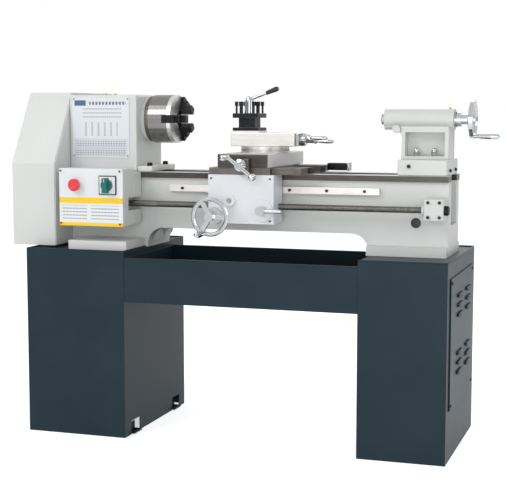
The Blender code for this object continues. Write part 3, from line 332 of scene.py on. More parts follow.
def addBlock(shape, centre, size, bevel=0.0, turn=None):
    made = bmesh.ops.create_cube(shape, size=1)["verts"]
    bmesh.ops.scale(shape, vec=size, verts=made)
    if bevel:
        edges = list({edge for vert in made for edge in vert.link_edges})
        cut = {"offset": bevel, "segments": 2, "affect": "EDGES", "profile": 0.5}
        faces = bmesh.ops.bevel(shape, geom=edges, **cut)["faces"]
        made = list({vert for face in faces for vert in face.verts} | {v for v in made if v.is_valid})
    if turn is not None:
        bmesh.ops.transform(shape, matrix=turn, verts=made)
    bmesh.ops.translate(shape, vec=centre, verts=made)


quarter = math.pi / 2
axisTurn = {
    "X": Matrix.Rotation(quarter, 4, "Y"),
    "Y": Matrix.Rotation(-quarter, 4, "X"),
    "Z": Matrix(),
}
weld = 0.000005


def addTurned(shape, axis, centre, profile, sides=48):
    # profile of (radius, along) points, closed on itself or on the axis
    points = [shape.verts.new((radius, 0, along)) for radius, along in profile]
    edges = [shape.edges.new(pair) for pair in zip(points, points[1:])]
    if profile[0][0] > 0:
        edges.append(shape.edges.new((points[-1], points[0])))
    around = {"cent": (0, 0, 0), "axis": (0, 0, 1), "angle": 2 * math.pi}
    bmesh.ops.spin(shape, geom=points + edges, steps=sides, use_merge=True, **around)
    waiting = [vert for vert in points if vert.is_valid]
    reached = set(waiting)
    while waiting:
        vert = waiting.pop()
        for edge in vert.link_edges:
            other = edge.other_vert(vert)
            if other not in reached:
                reached.add(other)
                waiting.append(other)
    faces = {face for vert in reached for face in vert.link_faces}
    bmesh.ops.remove_doubles(shape, verts=list(reached), dist=weld)
    kept = {vert for face in faces if face.is_valid for vert in face.verts}
    bmesh.ops.transform(shape, matrix=Matrix.Translation(centre) @ axisTurn[axis], verts=list(kept))


def turnedPiece(name, axis, centre, profile, finish, body, sides=64):
    shape = bmesh.new()
    addTurned(shape, axis, centre, profile, sides)
    return fromShape(name, shape, finish, body)


# geometry nodes: one small fitting on each face of a mesh, standing along that face's normal
def fittingTree(name, head, finish):
    tree = bpy.data.node_groups.new(name, "GeometryNodeTree")
    tree.interface.new_socket("Geometry", in_out="INPUT", socket_type="NodeSocketGeometry")
    size = tree.interface.new_socket("Size", in_out="INPUT", socket_type="NodeSocketFloat")
    size.default_value = 1.0
    tree.interface.new_socket("Geometry", in_out="OUTPUT", socket_type="NodeSocketGeometry")
    start = tree.nodes.new("NodeGroupInput")
    end = tree.nodes.new("NodeGroupOutput")
    normal = tree.nodes.new("GeometryNodeInputNormal")
    keep = tree.nodes.new("GeometryNodeStoreNamedAttribute")
    keep.data_type = "FLOAT_VECTOR"
    keep.domain = "FACE"
    keep.inputs["Name"].default_value = "outward"
    centres = tree.nodes.new("GeometryNodeMeshToPoints")
    centres.mode = "FACES"
    read = tree.nodes.new("GeometryNodeInputNamedAttribute")
    read.data_type = "FLOAT_VECTOR"
    read.inputs["Name"].default_value = "outward"
    aim = tree.nodes.new("FunctionNodeAlignRotationToVector")
    info = tree.nodes.new("GeometryNodeObjectInfo")
    info.inputs["Object"].default_value = head
    spread = tree.nodes.new("GeometryNodeInstanceOnPoints")
    real = tree.nodes.new("GeometryNodeRealizeInstances")
    coat = tree.nodes.new("GeometryNodeSetMaterial")
    coat.inputs["Material"].default_value = finish
    link = tree.links.new
    link(start.outputs["Geometry"], keep.inputs["Geometry"])
    link(normal.outputs[0], keep.inputs["Value"])
    link(keep.outputs[0], centres.inputs[0])
    link(centres.outputs[0], spread.inputs["Points"])
    link(read.outputs[0], aim.inputs["Vector"])
    link(aim.outputs[0], spread.inputs["Rotation"])
    link(info.outputs["Geometry"], spread.inputs["Instance"])
    link(start.outputs["Size"], spread.inputs["Scale"])
    link(spread.outputs[0], real.inputs[0])
    link(real.outputs[0], coat.inputs["Geometry"])
    link(coat.outputs[0], end.inputs[0])
    return tree, size.identifier


def scatter(name, head, places, size, finish, body):
    # places are (point, outward direction); each gets one copy of the fitting
    carrier = bmesh.new()
    for point, outward in places:
        side = Vector(outward).orthogonal().normalized() * 0.00001
        across = Vector(outward).cross(side)
        offsets = (side, across, -side - across)
        face = carrier.faces.new([carrier.verts.new(Vector(point) + offset) for offset in offsets])
        face.normal_update()
        if face.normal.dot(Vector(outward)) < 0:
            face.normal_flip()
    mesh = bpy.data.meshes.new(name + "Points")
    carrier.to_mesh(mesh)
    carrier.free()
    holder = bpy.data.objects.new(name + "Holder", mesh)
    bpy.context.scene.collection.objects.link(holder)
    tree, sizeKey = fittingTree(name + "Tree", head, finish)
    modifier = holder.modifiers.new("repeat", "NODES")
    modifier.node_group = tree
    modifier[sizeKey] = size
    graph = bpy.context.evaluated_depsgraph_get()
    baked = bpy.data.meshes.new_from_object(holder.evaluated_get(graph))
    bpy.data.objects.remove(holder)
    baked.name = name
    return newPiece(name, baked, finish, body)


def makeHead(name, build):
    # a fitting's shape, facing +Z from its seat, kept out of the scene
    shape = bmesh.new()
    build(shape)
    bmesh.ops.recalc_face_normals(shape, faces=shape.faces)
    mesh = bpy.data.meshes.new(name)
    shape.to_mesh(mesh)
    shape.free()
    mesh.shade_smooth()
    mesh.set_sharp_from_angle(angle=math.radians(30))
    return bpy.data.objects.new(name, mesh)


# mask sizes: how deep the bare ways go, the top strip of the ways that gets a painted highlight, the bare
# front of the cross slide, the chuck's front band that gets a painted highlight, and how far out the
# lever's black grip starts
bare = {"wayDepth": 0.0195, "wayTop": 0.001, "crossFront": 0.002, "chuckRimHighlight": 0.014, "grip": 0.0605}
bedTop = high("bed").z
wayLow = bedTop - bare["wayDepth"]
wayTop = bedTop - bare["wayTop"]
# the ways are bare down to wayLow; their top strip above wayTop gets a painted highlight, the faces below
# it a painted dark reflection
bedPaint = paintedCasting("bedCasting", lambda x, y, z: z > wayLow, lambda x, y, z: z > wayTop)
crossFront = low("cross_slide").y + bare["crossFront"]
# the cross slide's bare front face gets a painted dark reflection
crossPaint = paintedCasting("crossCasting", lambda x, y, z: y < crossFront, lambda x, y, z: 0.0)
wearFinish(nodes["bed"], bedPaint)
wearFinish(nodes["cross_slide"], crossPaint)


def twoTone(name, share, first, second, roughness, metallic):
    # two finishes on one piece; share is 0 on the first and 1 on the second
    s = Shader(name)
    mask = share(*s.axes())
    lines = s.noise(260, 3, 0.7, (1, 0.06, 0.06))
    tone = s.blendColours(mask, first, second)
    darker = s.blendColours(0.6, tone, (0.02, 0.02, 0.02))
    tone = s.blendColours(lines.over(0.35, 0.7) * 0.35, tone, darker)
    rough = roughness[0] + mask * (roughness[1] - roughness[0]) + lines * 0.08
    shine = metallic[0] + mask * (metallic[1] - metallic[0])
    return s.finish(tone, rough, s.relief(lines, 0.00004, round=0.0008), shine)


# the chuck body is dark turned steel; its front rim band is a painted highlight, near-white and glossy
chuckRimHighlight = high("chuck_body").x - bare["chuckRimHighlight"]
chuckTones = ((0.30, 0.295, 0.285), (0.86, 0.86, 0.85), (0.22, 0.30), (1.0, 0.9))
chuckSteelAndRimHighlight = twoTone("chuckSteelAndRimHighlight", lambda x, y, z: x > chuckRimHighlight, *chuckTones)
wearFinish(nodes["chuck_body"], chuckSteelAndRimHighlight)
gripStart = jointPlace["clamp_turn"].x + bare["grip"]
leverTones = ((0.66, 0.67, 0.69), (0.018, 0.018, 0.020), (0.10, 0.36), (1.0, 0.0))
leverSteel = twoTone("leverSteel", lambda x, y, z: x > gripStart, *leverTones)
wearFinish(nodes["clamp_lever"], leverSteel)

print("camera, lights and floor")
studio = {
    "cards": [
        ((2.6, -3.0, 0.9), (2.2, 2.6, 1), (quarter, 0, 0.7)),
        ((-3.2, -0.6, 1.0), (2.4, 2.4, 1), (quarter, 0, quarter)),
        ((0.2, -4.4, 2.3), (3.4, 0.7, 1), (quarter, 0, 0)),
    ],
    "eye": (1.281, -3.850, 1.049),
    "pitch": 5.95,
    "yaw": 18.40,
    "lens": 88.4,
    "keyPower": 74,
    "fillPower": 30,
    "frontPower": 46,
    "backPower": 36,
    "worldLight": 0.52,
    "floorGlow": 0.60,
}
lens = bpy.data.cameras.new("camera")
lens.lens = studio["lens"]
lens.sensor_width = 36
camera = bpy.data.objects.new("camera", lens)
camera.location = studio["eye"]
camera.rotation_euler = (math.radians(90 - studio["pitch"]), 0, math.radians(studio["yaw"]))
bpy.context.scene.collection.objects.link(camera)
bpy.context.scene.camera = camera
bpy.context.scene.view_settings.view_transform = "Standard"


def addLamp(name, place, aim, size, power):
    data = bpy.data.lights.new(name, "AREA")
    data.energy = power
    data.size = size
    lamp = bpy.data.objects.new(name, data)
    lamp.location = place
    lamp.rotation_euler = (Vector(aim) - Vector(place)).to_track_quat("-Z", "Y").to_euler()
    bpy.context.scene.collection.objects.link(lamp)


addLamp("keyLamp", (-2.2, -3.2, 3.4), (0, 0, 0.7), 2.2, studio["keyPower"])
addLamp("fillLamp", (3.2, -2.4, 2.2), (0, 0, 0.6), 2.6, studio["fillPower"])
addLamp("frontLamp", (0.9, -4.6, 0.7), (0, 0, 0.75), 2.4, studio["frontPower"])
addLamp("backLamp", (0.6, 3.2, 3.0), (0, 0, 0.8), 2.4, studio["backPower"])


def whiteForCamera(tree):
    # 1 for camera and transmission rays, a half for mirrored ones, 0 for light that fills the scene
    paths = tree.nodes.new("ShaderNodeLightPath")
    seen = tree.nodes.new("ShaderNodeMath")
    seen.operation = "MAXIMUM"
    tree.links.new(paths.outputs["Is Camera Ray"], seen.inputs[0])
    tree.links.new(paths.outputs["Is Transmission Ray"], seen.inputs[1])
    mirrored = tree.nodes.new("ShaderNodeMath")
    mirrored.operation = "MULTIPLY_ADD"
    mirrored.inputs[1].default_value = 0.5
    mirrored.use_clamp = True
    tree.links.new(paths.outputs["Is Glossy Ray"], mirrored.inputs[0])
    tree.links.new(seen.outputs[0], mirrored.inputs[2])
    return mirrored


world = bpy.data.worlds.new("studioWorld")
bpy.context.scene.world = world
world.use_nodes = True
sky = world.node_tree
skyLight = sky.nodes["Background"]
skyLight.inputs["Color"].default_value = (1, 1, 1, 1)
skyWhite = sky.nodes.new("ShaderNodeBackground")
skyWhite.inputs["Color"].default_value = (1, 1, 1, 1)
skyWhite.inputs["Strength"].default_value = 1.0
skyLight.inputs["Strength"].default_value = studio["worldLight"]
skyMix = sky.nodes.new("ShaderNodeMixShader")
sky.links.new(whiteForCamera(sky).outputs[0], skyMix.inputs[0])
sky.links.new(skyLight.outputs[0], skyMix.inputs[1])
sky.links.new(skyWhite.outputs[0], skyMix.inputs[2])
sky.links.new(skyMix.outputs[0], sky.nodes["World Output"].inputs[0])

bpy.ops.mesh.primitive_plane_add(size=30, location=(0, 0, cadBox[0][2] - 0.001))
floor = bpy.context.object
floor.name = "studioFloor"
floorShader = Shader("floorPaper")
floorStain = floorShader.noise(2, 2) * 0.1
floorTone = floorShader.blendColours(floorStain, (0.93, 0.93, 0.93), (0.90, 0.90, 0.90))
floor.data.materials.append(floorShader.finish(floorTone, 0.8))
paper = floorShader.tree
glow = paper.nodes.new("ShaderNodeEmission")
strength = paper.nodes.new("ShaderNodeMath")
strength.operation = "MULTIPLY"
strength.inputs[1].default_value = studio["floorGlow"]
together = paper.nodes.new("ShaderNodeAddShader")
paper.links.new(whiteForCamera(paper).outputs[0], strength.inputs[0])
paper.links.new(strength.outputs[0], glow.inputs["Strength"])
paper.links.new(floorShader.bsdf.outputs[0], together.inputs[0])
paper.links.new(glow.outputs[0], together.inputs[1])
paper.links.new(together.outputs[0], paper.nodes["Material Output"].inputs[0])

# dark cards seen only in reflections, so that bright metal has something dark to mirror
for number, (place, size, turn) in enumerate(studio["cards"], 1):
    bpy.ops.mesh.primitive_plane_add(size=1, location=place, rotation=turn)
    card = bpy.context.object
    card.name = f"darkCard{number}"
    card.scale = size
    for kind in ("camera", "diffuse", "shadow", "transmission", "volume_scatter"):
        setattr(card, "visible_" + kind, False)
    cardShader = Shader(card.name)
    card.data.materials.append(cardShader.finish((0.004, 0.004, 0.005), 0.9))


# heads of the small fasteners, each facing +Z from its seat
def buildCapScrew(shape):
    socketed = [(0, 0), (0.0056, 0), (0.0056, 0.006), (0.0048, 0.0068), (0.0022, 0.0068), (0.0022, 0.0045)]
    addTurned(shape, "Z", (0, 0, 0), socketed + [(0, 0.0045)], 18)


def buildPanScrew(shape):
    domed = [(0, 0), (0.0042, 0), (0.0040, 0.0012), (0.0026, 0.0022), (0, 0.0026)]
    addTurned(shape, "Z", (0, 0, 0), domed, 16)
    addBlock(shape, (0, 0, 0.0024), (0.0062, 0.0008, 0.0006))


def buildRivet(shape):
    domed = [(0, 0), (0.0024, 0), (0.0020, 0.0009), (0.0010, 0.0014), (0, 0.0015)]
    addTurned(shape, "Z", (0, 0, 0), domed, 12)


capScrew = makeHead("capScrew", buildCapScrew)
panScrew = makeHead("panScrew", buildPanScrew)
rivet = makeHead("rivet", buildRivet)
print("small fasteners")


def grid(firsts, seconds, place, outward):
    # one spot for each pair of measures, all facing the same way
    return [(place(first, second), outward) for first in firsts for second in seconds]


def corners(name, inset):
    # four points near the corners of a node's front face
    lowest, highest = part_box(name)
    xs = (lowest.x + inset, highest.x - inset)
    zs = (lowest.z + inset, highest.z - inset)
    return grid(xs, zs, lambda x, z: (x, lowest.y, z), front)


def blackScrews(name, head, places, size, body="machine"):
    scatter(name, head, places, size, blackSteel, body)


front = (0, -1, 0)
right = (1, 0, 0)
left = (-1, 0, 0)
upward = (0, 0, 1)
blackScrews("panelScrews", panScrew, corners("control_panel", 0.008), 0.8)
blackScrews("plateRivets", rivet, corners("index_plate", 0.006), 1.0)

rack = {"first": 0.045, "apart": 0.122, "count": 6}
rackLow = low("feed_rack")
rackXs = [rackLow.x + rack["first"] + rack["apart"] * step for step in range(rack["count"])]
rackPlaces = grid(rackXs, [middle("feed_rack").z], lambda x, z: (x, rackLow.y, z), front)
blackScrews("rackScrews", capScrew, rackPlaces, 0.85)

apronInset = {"left": 0.010, "right": 0.012, "ends": 0.012, "face": 0.022}
apronLow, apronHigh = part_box("apron")
apronXs = (apronLow.x + apronInset["left"], apronHigh.x - apronInset["right"])
apronZs = (apronLow.z + apronInset["ends"], apronHigh.z - apronInset["ends"])
apronFace = apronLow.y + apronInset["face"]
apronPlaces = grid(apronXs, apronZs, lambda x, z: (x, apronFace, z), front)
blackScrews("apronScrews", panScrew, apronPlaces, 0.8, "carriage")

bracketInset = {"left": 0.014, "right": 0.012, "low": 0.012, "high": 0.010}
bracketLow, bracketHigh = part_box("leadscrew_bracket")
bracketXs = (bracketLow.x + bracketInset["left"], bracketHigh.x - bracketInset["right"])
bracketZs = (bracketLow.z + bracketInset["low"], bracketHigh.z - bracketInset["high"])
bracketPlaces = grid(bracketXs, bracketZs, lambda x, z: (x, bracketLow.y, z), front)
blackScrews("bracketScrews", capScrew, bracketPlaces, 0.85)

door = {"inset": 0.014}
doorLow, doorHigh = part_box("louvre_panel")
doorYs = (doorLow.y + door["inset"], doorHigh.y - door["inset"])
doorZs = (doorLow.z + door["inset"], doorHigh.z - door["inset"])
blackScrews("doorScrews", panScrew, grid(doorYs, doorZs, lambda y, z: (doorHigh.x, y, z), right), 1.3)

cover = {"front": 0.16, "back": 0.05, "ends": 0.05}
coverLow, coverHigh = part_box("gear_cover")
coverYs = (coverLow.y + cover["front"], coverHigh.y - cover["back"])
coverZs = (coverLow.z + cover["ends"], coverHigh.z - cover["ends"])
coverPlaces = grid(coverYs, coverZs, lambda y, z: (coverLow.x, y, z), left)
blackScrews("coverScrews", capScrew, coverPlaces, 1.2, "cover")

print("stand details")
hood = {
    "length": 0.086,
    "proud": 0.006,
    "drop": 0.011,
    "roof": 0.0016,
    "skin": 0.0014,
    "tilt": -14,
    "columns": (0.155, 0.315),
    "rows": (0.09, 0.12, 0.15, 0.27, 0.30, 0.33),
    "rise": 0.010,
}
hoods = bmesh.new()
tilt = Matrix.Rotation(math.radians(hood["tilt"]), 4, "Y")
for column in hood["columns"]:
    for row in hood["rows"]:
        y = doorLow.y + column
        top = doorLow.z + row + hood["rise"]
        roof = (hood["proud"], hood["length"], hood["roof"])
        addBlock(hoods, (doorHigh.x + hood["proud"] / 2, y, top), roof, 0.0004)
        skin = (hood["skin"], hood["length"], hood["drop"])
        addBlock(hoods, (doorHigh.x + hood["proud"] - 0.001, y, top - hood["drop"] / 2), skin, 0.0003, tilt)
fromShape("louvreHoods", hoods, slate, "machine")

rim = {"wide": 0.004, "lift": 0.0022, "gap": 0.009, "bevel": 0.0008}
foot = {
    "inset": 0.085,
    "sole": ((0.004, 0.004), (0.026, 0.060, 0.006), 0.001),
    "tab": ((0.016, 0.018), (0.003, 0.050, 0.030), 0.0006),
}
stands = bmesh.new()
for name in ("left_cabinet", "right_cabinet"):
    lowest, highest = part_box(name)
    size = highest - lowest
    centre = (highest + lowest) / 2
    rimZ = highest.z + rim["lift"]
    for side in (-1, 1):
        edgeY = centre.y + side * (size.y - rim["wide"]) / 2
        addBlock(stands, (centre.x, edgeY, rimZ), (size.x, rim["wide"], rim["wide"]), rim["bevel"])
        if name == "left_cabinet" or side > 0:
            edgeX = centre.x + side * (size.x - rim["wide"]) / 2
            across = (rim["wide"], size.y - rim["gap"], rim["wide"])
            addBlock(stands, (edgeX, centre.y, rimZ), across, rim["bevel"])
leftLow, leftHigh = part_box("left_cabinet")
for y in (leftLow.y + foot["inset"], leftHigh.y - foot["inset"]):
    for (inset, z), size, bevel in (foot["sole"], foot["tab"]):
        addBlock(stands, (leftHigh.x - inset, y, z), size, bevel)
fromShape("standTrim", stands, slate, "machine")

lip = {"wide": 0.012, "thick": 0.0012, "lift": 0.0007, "short": 0.002}
trayLow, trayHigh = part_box("chip_tray")
lipSize = (trayHigh.x - trayLow.x - lip["short"], lip["wide"], lip["thick"])
trim = bmesh.new()
for y in (trayLow.y + lip["wide"] / 2, trayHigh.y - lip["wide"] / 2):
    addBlock(trim, ((trayLow.x + trayHigh.x) / 2, y, trayHigh.z + lip["lift"]), lipSize, 0.0003)
fromShape("trayRim", trim, slate, "machine")

print("leadscrew thread")
thread = {
    "plain": 0.0105,
    "pitch": 0.005,
    "deep": 0.0016,
    "sides": 18,
    "steps": 5,
    "inset": 0.008,
    "start": 0.409,
    "end": 1.285,
    "tip": 1.352,
}
screwLow = low("leadscrew")
screwAxis = jointPlace["leadscrew_spin"]
shift = screwLow.x - thread["inset"]
threadStart = thread["start"] + shift
threadEnd = thread["end"] + shift


def leadscrewRadius(x, turn):
    if not threadStart < x < threadEnd:
        return thread["plain"]
    phase = (x / thread["pitch"] - turn) % 1
    flank = min(1.0, max(0.0, abs(phase - 0.5) * 4 - 0.5))
    return thread["plain"] - thread["deep"] * (1 - flank)


def buildLeadscrew():
    shape = bmesh.new()
    spots = [screwLow.x, threadStart]
    while spots[-1] < threadEnd:
        spots.append(spots[-1] + thread["pitch"] / thread["steps"])
    spots.append(thread["tip"] + shift)
    rings = []
    for x in spots:
        ring = []
        for side in range(thread["sides"]):
            turn = side / thread["sides"]
            radius = leadscrewRadius(x, turn)
            y = screwAxis.y + radius * math.cos(2 * math.pi * turn)
            z = screwAxis.z + radius * math.sin(2 * math.pi * turn)
            ring.append(shape.verts.new((x, y, z)))
        rings.append(ring)
    for near, far in zip(rings, rings[1:]):
        for side in range(thread["sides"]):
            after = (side + 1) % thread["sides"]
            shape.faces.new((near[side], near[after], far[after], far[side]))
    shape.faces.new(rings[0])
    shape.faces.new(rings[-1][::-1])
    return fromShape("threadedLeadscrew", shape, screwSteel, "feed_screw", 40)


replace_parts(buildLeadscrew(), "leadscrew")
nut = {"gap": 0.0003, "profile": [(0, 0.014), (0.012, 0.014), (0.015, 0.011), (0.015, 0), (0, 0)]}
nutPlace = (thread["tip"] + nut["gap"] + shift, screwAxis.y, screwAxis.z)
turnedPiece("leadscrewNut", "X", nutPlace, nut["profile"], blackSteel, "feed_screw", 40)
boss = {
    "long": 0.007,
    "profile": [(0.0115, 0.0068), (0.0115, 0), (0.0175, 0), (0.019, 0.0015), (0.019, 0.0068)],
}
bossPlace = (bracketLow.x - boss["long"], screwAxis.y, screwAxis.z)
turnedPiece("leadscrewBoss", "X", bossPlace, boss["profile"], cream, "machine", 40)

print("printed plates")


def platePrint(name, node, base, ink, draw):
    # a plain printed pattern on a node's front face, drawn in the plate's own width and height
    lowest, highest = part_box(node)
    s = Shader(name)
    x, y, z = s.axes()
    across = (x - lowest.x) / (highest.x - lowest.x)
    up = (z - lowest.z) / (highest.z - lowest.z)
    tone = draw(s, across, up, base, ink)
    scuffs = s.noise(60, 5, 0.7).over(0.6, 0.85)
    grain = s.noise(500, 2)
    wearFinish(nodes[node], s.finish(tone, 0.30 + scuffs * 0.15, s.relief(grain, 0.00002, round=0.0008)))


def inside(value, start, end):
    return (value > start) * (value < end)


def stripes(value, count, share):
    # 1 on evenly spaced bars that fill this share of the way
    return (value * count) % 1 < share


def drawIndex(s, across, up, base, ink):
    # a title bar, a few ruled rows, a chart and two tables, with no wording
    columns = stripes(across, 22, 0.16) * (inside(up, 0.05, 0.13) + inside(up, 0.19, 0.27))
    rows = stripes(up, 26, 0.16) * inside(up, 0.03, 0.31)
    chart = inside(up, 0.36, 0.58) * inside(across, 0.22, 0.80)
    cells = stripes(across, 9, 0.30) * stripes(up, 30, 0.45) * chart
    title = stripes(across, 17, 0.62) * (inside(up, 0.875, 0.925) * inside(across, 0.30, 0.95))
    tableBack = inside(across, 0.03, 0.97) * inside(up, 0.03, 0.31)
    ruled = inside(up, 0.62, 0.82) * inside(across, 0.18, 0.86)
    upperRows = stripes(up, 15, 0.20) * ruled * stripes(across, 31, 0.7)
    header = inside(up, 0.86, 0.95) * inside(across, 0.04, 0.24)
    table = (columns + rows) * inside(across, 0.05, 0.95)
    tone = s.blendColours(tableBack * 0.10, base, ink)
    tone = s.blendColours((table * 0.6).over(0.0, 1.0), tone, ink)
    tone = s.blendColours(cells * 0.7 + title * 0.85, tone, ink)
    tone = s.blendColours(upperRows * 0.75, tone, ink)
    return s.blendColours(header * 0.9, tone, (0.02, 0.06, 0.20))


def drawControls(s, across, up, base, ink):
    # two yellow bands and two columns of dashes
    bands = inside(up, 0.395, 0.495) + inside(up, 0.0, 0.060)
    writing = inside(across, 0.04, 0.44) + inside(across, 0.50, 0.94)
    rules = stripes(up, 17, 0.30) * inside(up, 0.12, 0.36) * writing * stripes(across, 43, 0.72)
    tone = s.blendColours(rules * 0.8, base, ink)
    return s.blendColours(bands, tone, (0.90, 0.58, 0.02))


platePrint("indexPrint", "index_plate", (0.70, 0.73, 0.78), (0.05, 0.06, 0.09), drawIndex)
platePrint("controlPrint", "control_panel", (0.74, 0.77, 0.79), (0.10, 0.10, 0.11), drawControls)

print("controls")
switch = {"frame": 0.007, "thick": 0.0007, "lift": 0.00045, "angles": (-45, 0, 45), "reach": 0.0235}
switchLow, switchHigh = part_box("switch_plate")
switchMid = (switchLow + switchHigh) / 2
plate = switchHigh - switchLow
face = bmesh.new()
faceSize = (plate.x - switch["frame"], switch["thick"], plate.z - switch["frame"])
addBlock(face, (switchMid.x, switchLow.y - switch["lift"], switchMid.z), faceSize, 0.0002)
fromShape("switchFace", face, panelGrey, "machine")
marks = bmesh.new()
for angle in switch["angles"]:
    turn = Matrix.Rotation(math.radians(angle), 4, "Y")
    spot = Vector((switchMid.x, switchLow.y - 0.0010, switchMid.z)) + turn @ Vector((0, 0, switch["reach"]))
    addBlock(marks, spot, (0.0012, 0.0004, 0.003), 0, turn)
fromShape("switchMarks", marks, blackPlastic, "machine")
pointer = bmesh.new()
pointerPlace = (switchMid.x, low("switch_knob").y - 0.0002, switchMid.z + 0.016)
addBlock(pointer, pointerPlace, (0.0022, 0.0005, 0.010), 0.0001)
fromShape("knobPointer", pointer, panelGrey, "switch")

print("dials")


def dialMarks(name, body, axis, centre, dial):
    # graduation marks round a dial, every fifth one longer
    shape = bmesh.new()
    base = axisTurn[axis]
    for step in range(dial["count"]):
        length = dial["long"] * (1.0 if step % 5 == 0 else 0.6)
        turn = Matrix.Rotation(2 * math.pi * step / dial["count"], 4, "Z")
        spot = base @ turn @ Vector((dial["radius"], 0, dial["seat"] + length / 2))
        addBlock(shape, Vector(centre) + spot, (0.0003, 0.0006, length), 0, base @ turn)
    fromShape(name, shape, blackPlastic, body)


swivelDial = {"radius": 0.0782, "count": 120, "long": 0.013, "seat": 0.004}
swivelMid = middle("swivel_base")
dialMarks("swivelMarks", "swivel", "Z", (swivelMid.x, swivelMid.y, low("swivel_base").z), swivelDial)
crossDial = {"radius": 0.0192, "count": 60, "long": 0.0040, "seat": -0.0045}
crankPlace = jointPlace["cross_crank_turn"]
crossSeat = (crankPlace.x, low("cross_bracket").y, crankPlace.z)
dialMarks("crossMarks", "cross_handle", "Y", crossSeat, crossDial)
topDial = {"radius": 0.0202, "count": 60, "long": 0.006, "seat": 0.002}
topPlace = jointPlace["top_crank_turn"]
dialMarks("topMarks", "top_handle", "X", (high("top_bracket").x, topPlace.y, topPlace.z), topDial)
tailDial = {"radius": 0.0232, "count": 60, "long": 0.007, "seat": 0.003}
tailPlace = jointPlace["tail_wheel_turn"]
tailEnd = high("tailstock_body").x
dialMarks("tailMarks", "tail_wheel", "X", (tailEnd, tailPlace.y, tailPlace.z), tailDial)
wheelDial = {"radius": 0.0262, "count": 80, "long": 0.006, "seat": 0.002}
wheelPlace = jointPlace["apron_wheel_turn"]
dialMarks("wheelMarks", "carriage", "Y", (wheelPlace.x, apronLow.y, wheelPlace.z), wheelDial)

print("headstock, carriage and tailstock fittings")
flange = {"long": 0.052, "narrow": 0.012, "high": 0.018, "ahead": 0.0265, "lift": 0.0095, "bevel": 0.003}
bolts = {"ahead": 0.034, "lift": 0.0185, "front": 0.03, "back": 0.05}
headLow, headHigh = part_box("headstock")
headFoot = bmesh.new()
size = (flange["long"], headHigh.y - headLow.y - flange["narrow"], flange["high"])
centre = (headHigh.x + flange["ahead"], (headLow.y + headHigh.y) / 2, bedTop + flange["lift"])
addBlock(headFoot, centre, size, flange["bevel"])
fromShape("headstockFoot", headFoot, cream, "machine")
boltYs = (headLow.y + bolts["front"], headHigh.y - bolts["back"])
boltZ = bedTop + bolts["lift"]
boltPlaces = grid([headHigh.x + bolts["ahead"]], boltYs, lambda x, y: (x, y, boltZ), upward)
blackScrews("headstockBolts", capScrew, boltPlaces, 1.6)

plug = {
    "inset": 0.101,
    "height": 0.711,
    "profile": [(0, -0.004), (0.010, -0.004), (0.0155, -0.002), (0.0155, 0), (0, 0)],
}
bedLow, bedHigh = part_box("bed")
plugPlace = (bedHigh.x - plug["inset"], high("feed_rack").y, plug["height"])
turnedPiece("bedPlug", "Y", plugPlace, plug["profile"], blackPlastic, "machine", 40)

cap = {"reach": 0.056, "first": 30, "apart": 60, "count": 6}
capPlace = jointPlace["spindle_spin"]
capEnd = high("bearing_cap").x
places = []
for step in range(cap["count"]):
    angle = math.radians(cap["first"] + cap["apart"] * step)
    y = capPlace.y + cap["reach"] * math.cos(angle)
    z = capPlace.z + cap["reach"] * math.sin(angle)
    places.append(((capEnd, y, z), right))
blackScrews("capScrews", capScrew, places, 0.7)

wiper = {"size": (0.004, 0.050, 0.018), "out": 0.0025, "lift": 0.011, "front": 0.175, "back": 0.045}
saddleLow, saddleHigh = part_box("saddle")
wipers = bmesh.new()
for x in (saddleLow.x - wiper["out"], saddleHigh.x + wiper["out"]):
    for y in (bedLow.y + wiper["front"], bedHigh.y - wiper["back"]):
        addBlock(wipers, (x, y, bedTop + wiper["lift"]), wiper["size"], 0.001)
fromShape("wayWipers", wipers, rubber, "carriage")

guards = {
    "rearGuard": (0.040, (0.068, 0.030, 0.024), 0.003, blackSteel, "black_steel"),
    "rearGuardEnd": (0.0785, (0.008, 0.034, 0.028), 0.002, ground, "bare_steel"),
}
for name, (ahead, size, bevel, finish, slot) in guards.items():
    shape = bmesh.new()
    addBlock(shape, (saddleHigh.x + ahead, saddleHigh.y - 0.030, bedTop + 0.016), size, bevel)
    fromShape(name, shape, finish, "carriage")

tailLow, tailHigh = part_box("tailstock_base")
tailMid = middle("tailstock_base").y
setOver = {"reach": 0.05, "height": 0.03}
setOverYs = (tailMid - setOver["reach"], tailMid + setOver["reach"])
setOverPlaces = grid(setOverYs, [tailLow.z + setOver["height"]], lambda y, z: (tailHigh.x, y, z), right)
blackScrews("setOverScrews", capScrew, setOverPlaces, 0.9, "tail")
baseScrew = {"inset": 0.036, "below": 0.020}
basePlace = (tailLow.x + baseScrew["inset"], tailLow.y, tailHigh.z - baseScrew["below"])
blackScrews("tailBaseScrew", capScrew, [(basePlace, front)], 1.0, "tail")

dome = {
    "below": 0.0046,
    "profile": [(0, 0.012), (0.004, 0.0112), (0.0075, 0.0085), (0.0085, 0.005), (0.0085, 0), (0, 0)],
}
for number in (1, 2):
    stud = middle(f"clamp_stud_{number}")
    spot = (stud.x, stud.y, high(f"clamp_stud_{number}").z - dome["below"])
    turnedPiece(f"domeNut{number}", "Z", spot, dome["profile"], chrome, "tail", 32)

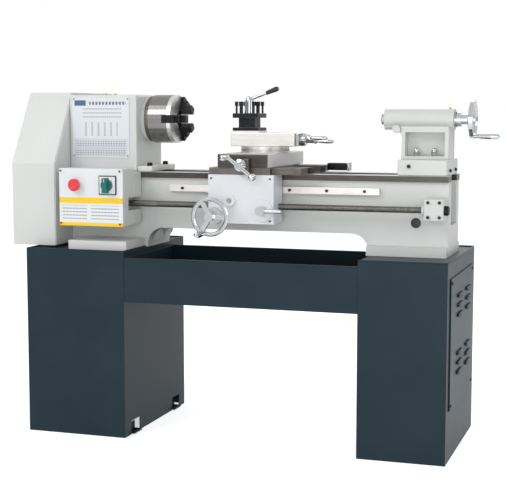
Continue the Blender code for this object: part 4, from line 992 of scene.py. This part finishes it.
oiler = {
    "inset": 0.015,
    "height": 0.0324,
    "profile": [(0, 0.005), (0.002, 0.0048), (0.0045, 0.003), (0.0045, 0), (0, 0)],
}
oilerPlace = (tailEnd - oiler["inset"], tailPlace.y, tailPlace.z + oiler["height"])
turnedPiece("tailOiler", "Z", oilerPlace, oiler["profile"], brass, "tail", 24)
filler = {
    "inset": 0.10,
    "ys": (0.07, 0.15),
    "profile": [(0, 0.006), (0.006, 0.006), (0.007, 0.004), (0.007, 0), (0, 0)],
}
for number, y in enumerate(filler["ys"], 1):
    spot = (headLow.x + filler["inset"], headLow.y + y, headHigh.z)
    turnedPiece(f"headOiler{number}", "Z", spot, filler["profile"], brass, "machine", 24)

print("motor")
fin = {
    "first": 0.045,
    "apart": 0.010,
    "count": 14,
    "profile": [(0.0622, 0), (0.068, 0), (0.068, 0.0022), (0.0622, 0.0022)],
}
motorLow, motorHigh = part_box("motor_case")
motorAxis = jointPlace["motor_spin"]
fins = bmesh.new()
for step in range(fin["count"]):
    x = motorLow.x + fin["first"] + fin["apart"] * step
    addTurned(fins, "X", (x, motorAxis.y, motorAxis.z), fin["profile"], 40)
fromShape("motorFins", fins, motorBlue, "machine")
cowl = {
    "inset": 0.026,
    "outside": [(0.020, 0.0285), (0.020, 0.030), (0.058, 0.030), (0.066, 0.024), (0.066, 0)],
    "within": [(0.0645, 0), (0.0645, 0.023), (0.057, 0.0285)],
}
cowlPlace = (motorHigh.x - cowl["inset"], motorAxis.y, motorAxis.z)
cowlProfile = cowl["outside"] + cowl["within"]
turnedPiece("motorCowl", "X", cowlPlace, cowlProfile, motorBlue, "machine", 48)
terminal = {"lift": 0.078, "size": (0.070, 0.060, 0.028), "bevel": 0.004}
terminalBox = bmesh.new()
terminalPlace = (middle("motor_case").x, motorAxis.y, motorAxis.z + terminal["lift"])
addBlock(terminalBox, terminalPlace, terminal["size"], terminal["bevel"])
fromShape("motorTerminalBox", terminalBox, motorBlue, "machine")

hinge = {"low": 0.08, "high": 0.12, "profile": [(0, 0.040), (0.004, 0.040), (0.004, 0), (0, 0)]}
hingePlace = jointPlace["cover_swing"]
knuckles = bmesh.new()
for z in (coverLow.z + hinge["low"], coverHigh.z - hinge["high"]):
    addTurned(knuckles, "Z", (hingePlace.x, hingePlace.y, z), hinge["profile"], 20)
fromShape("coverHinges", knuckles, blackSteel, "machine")
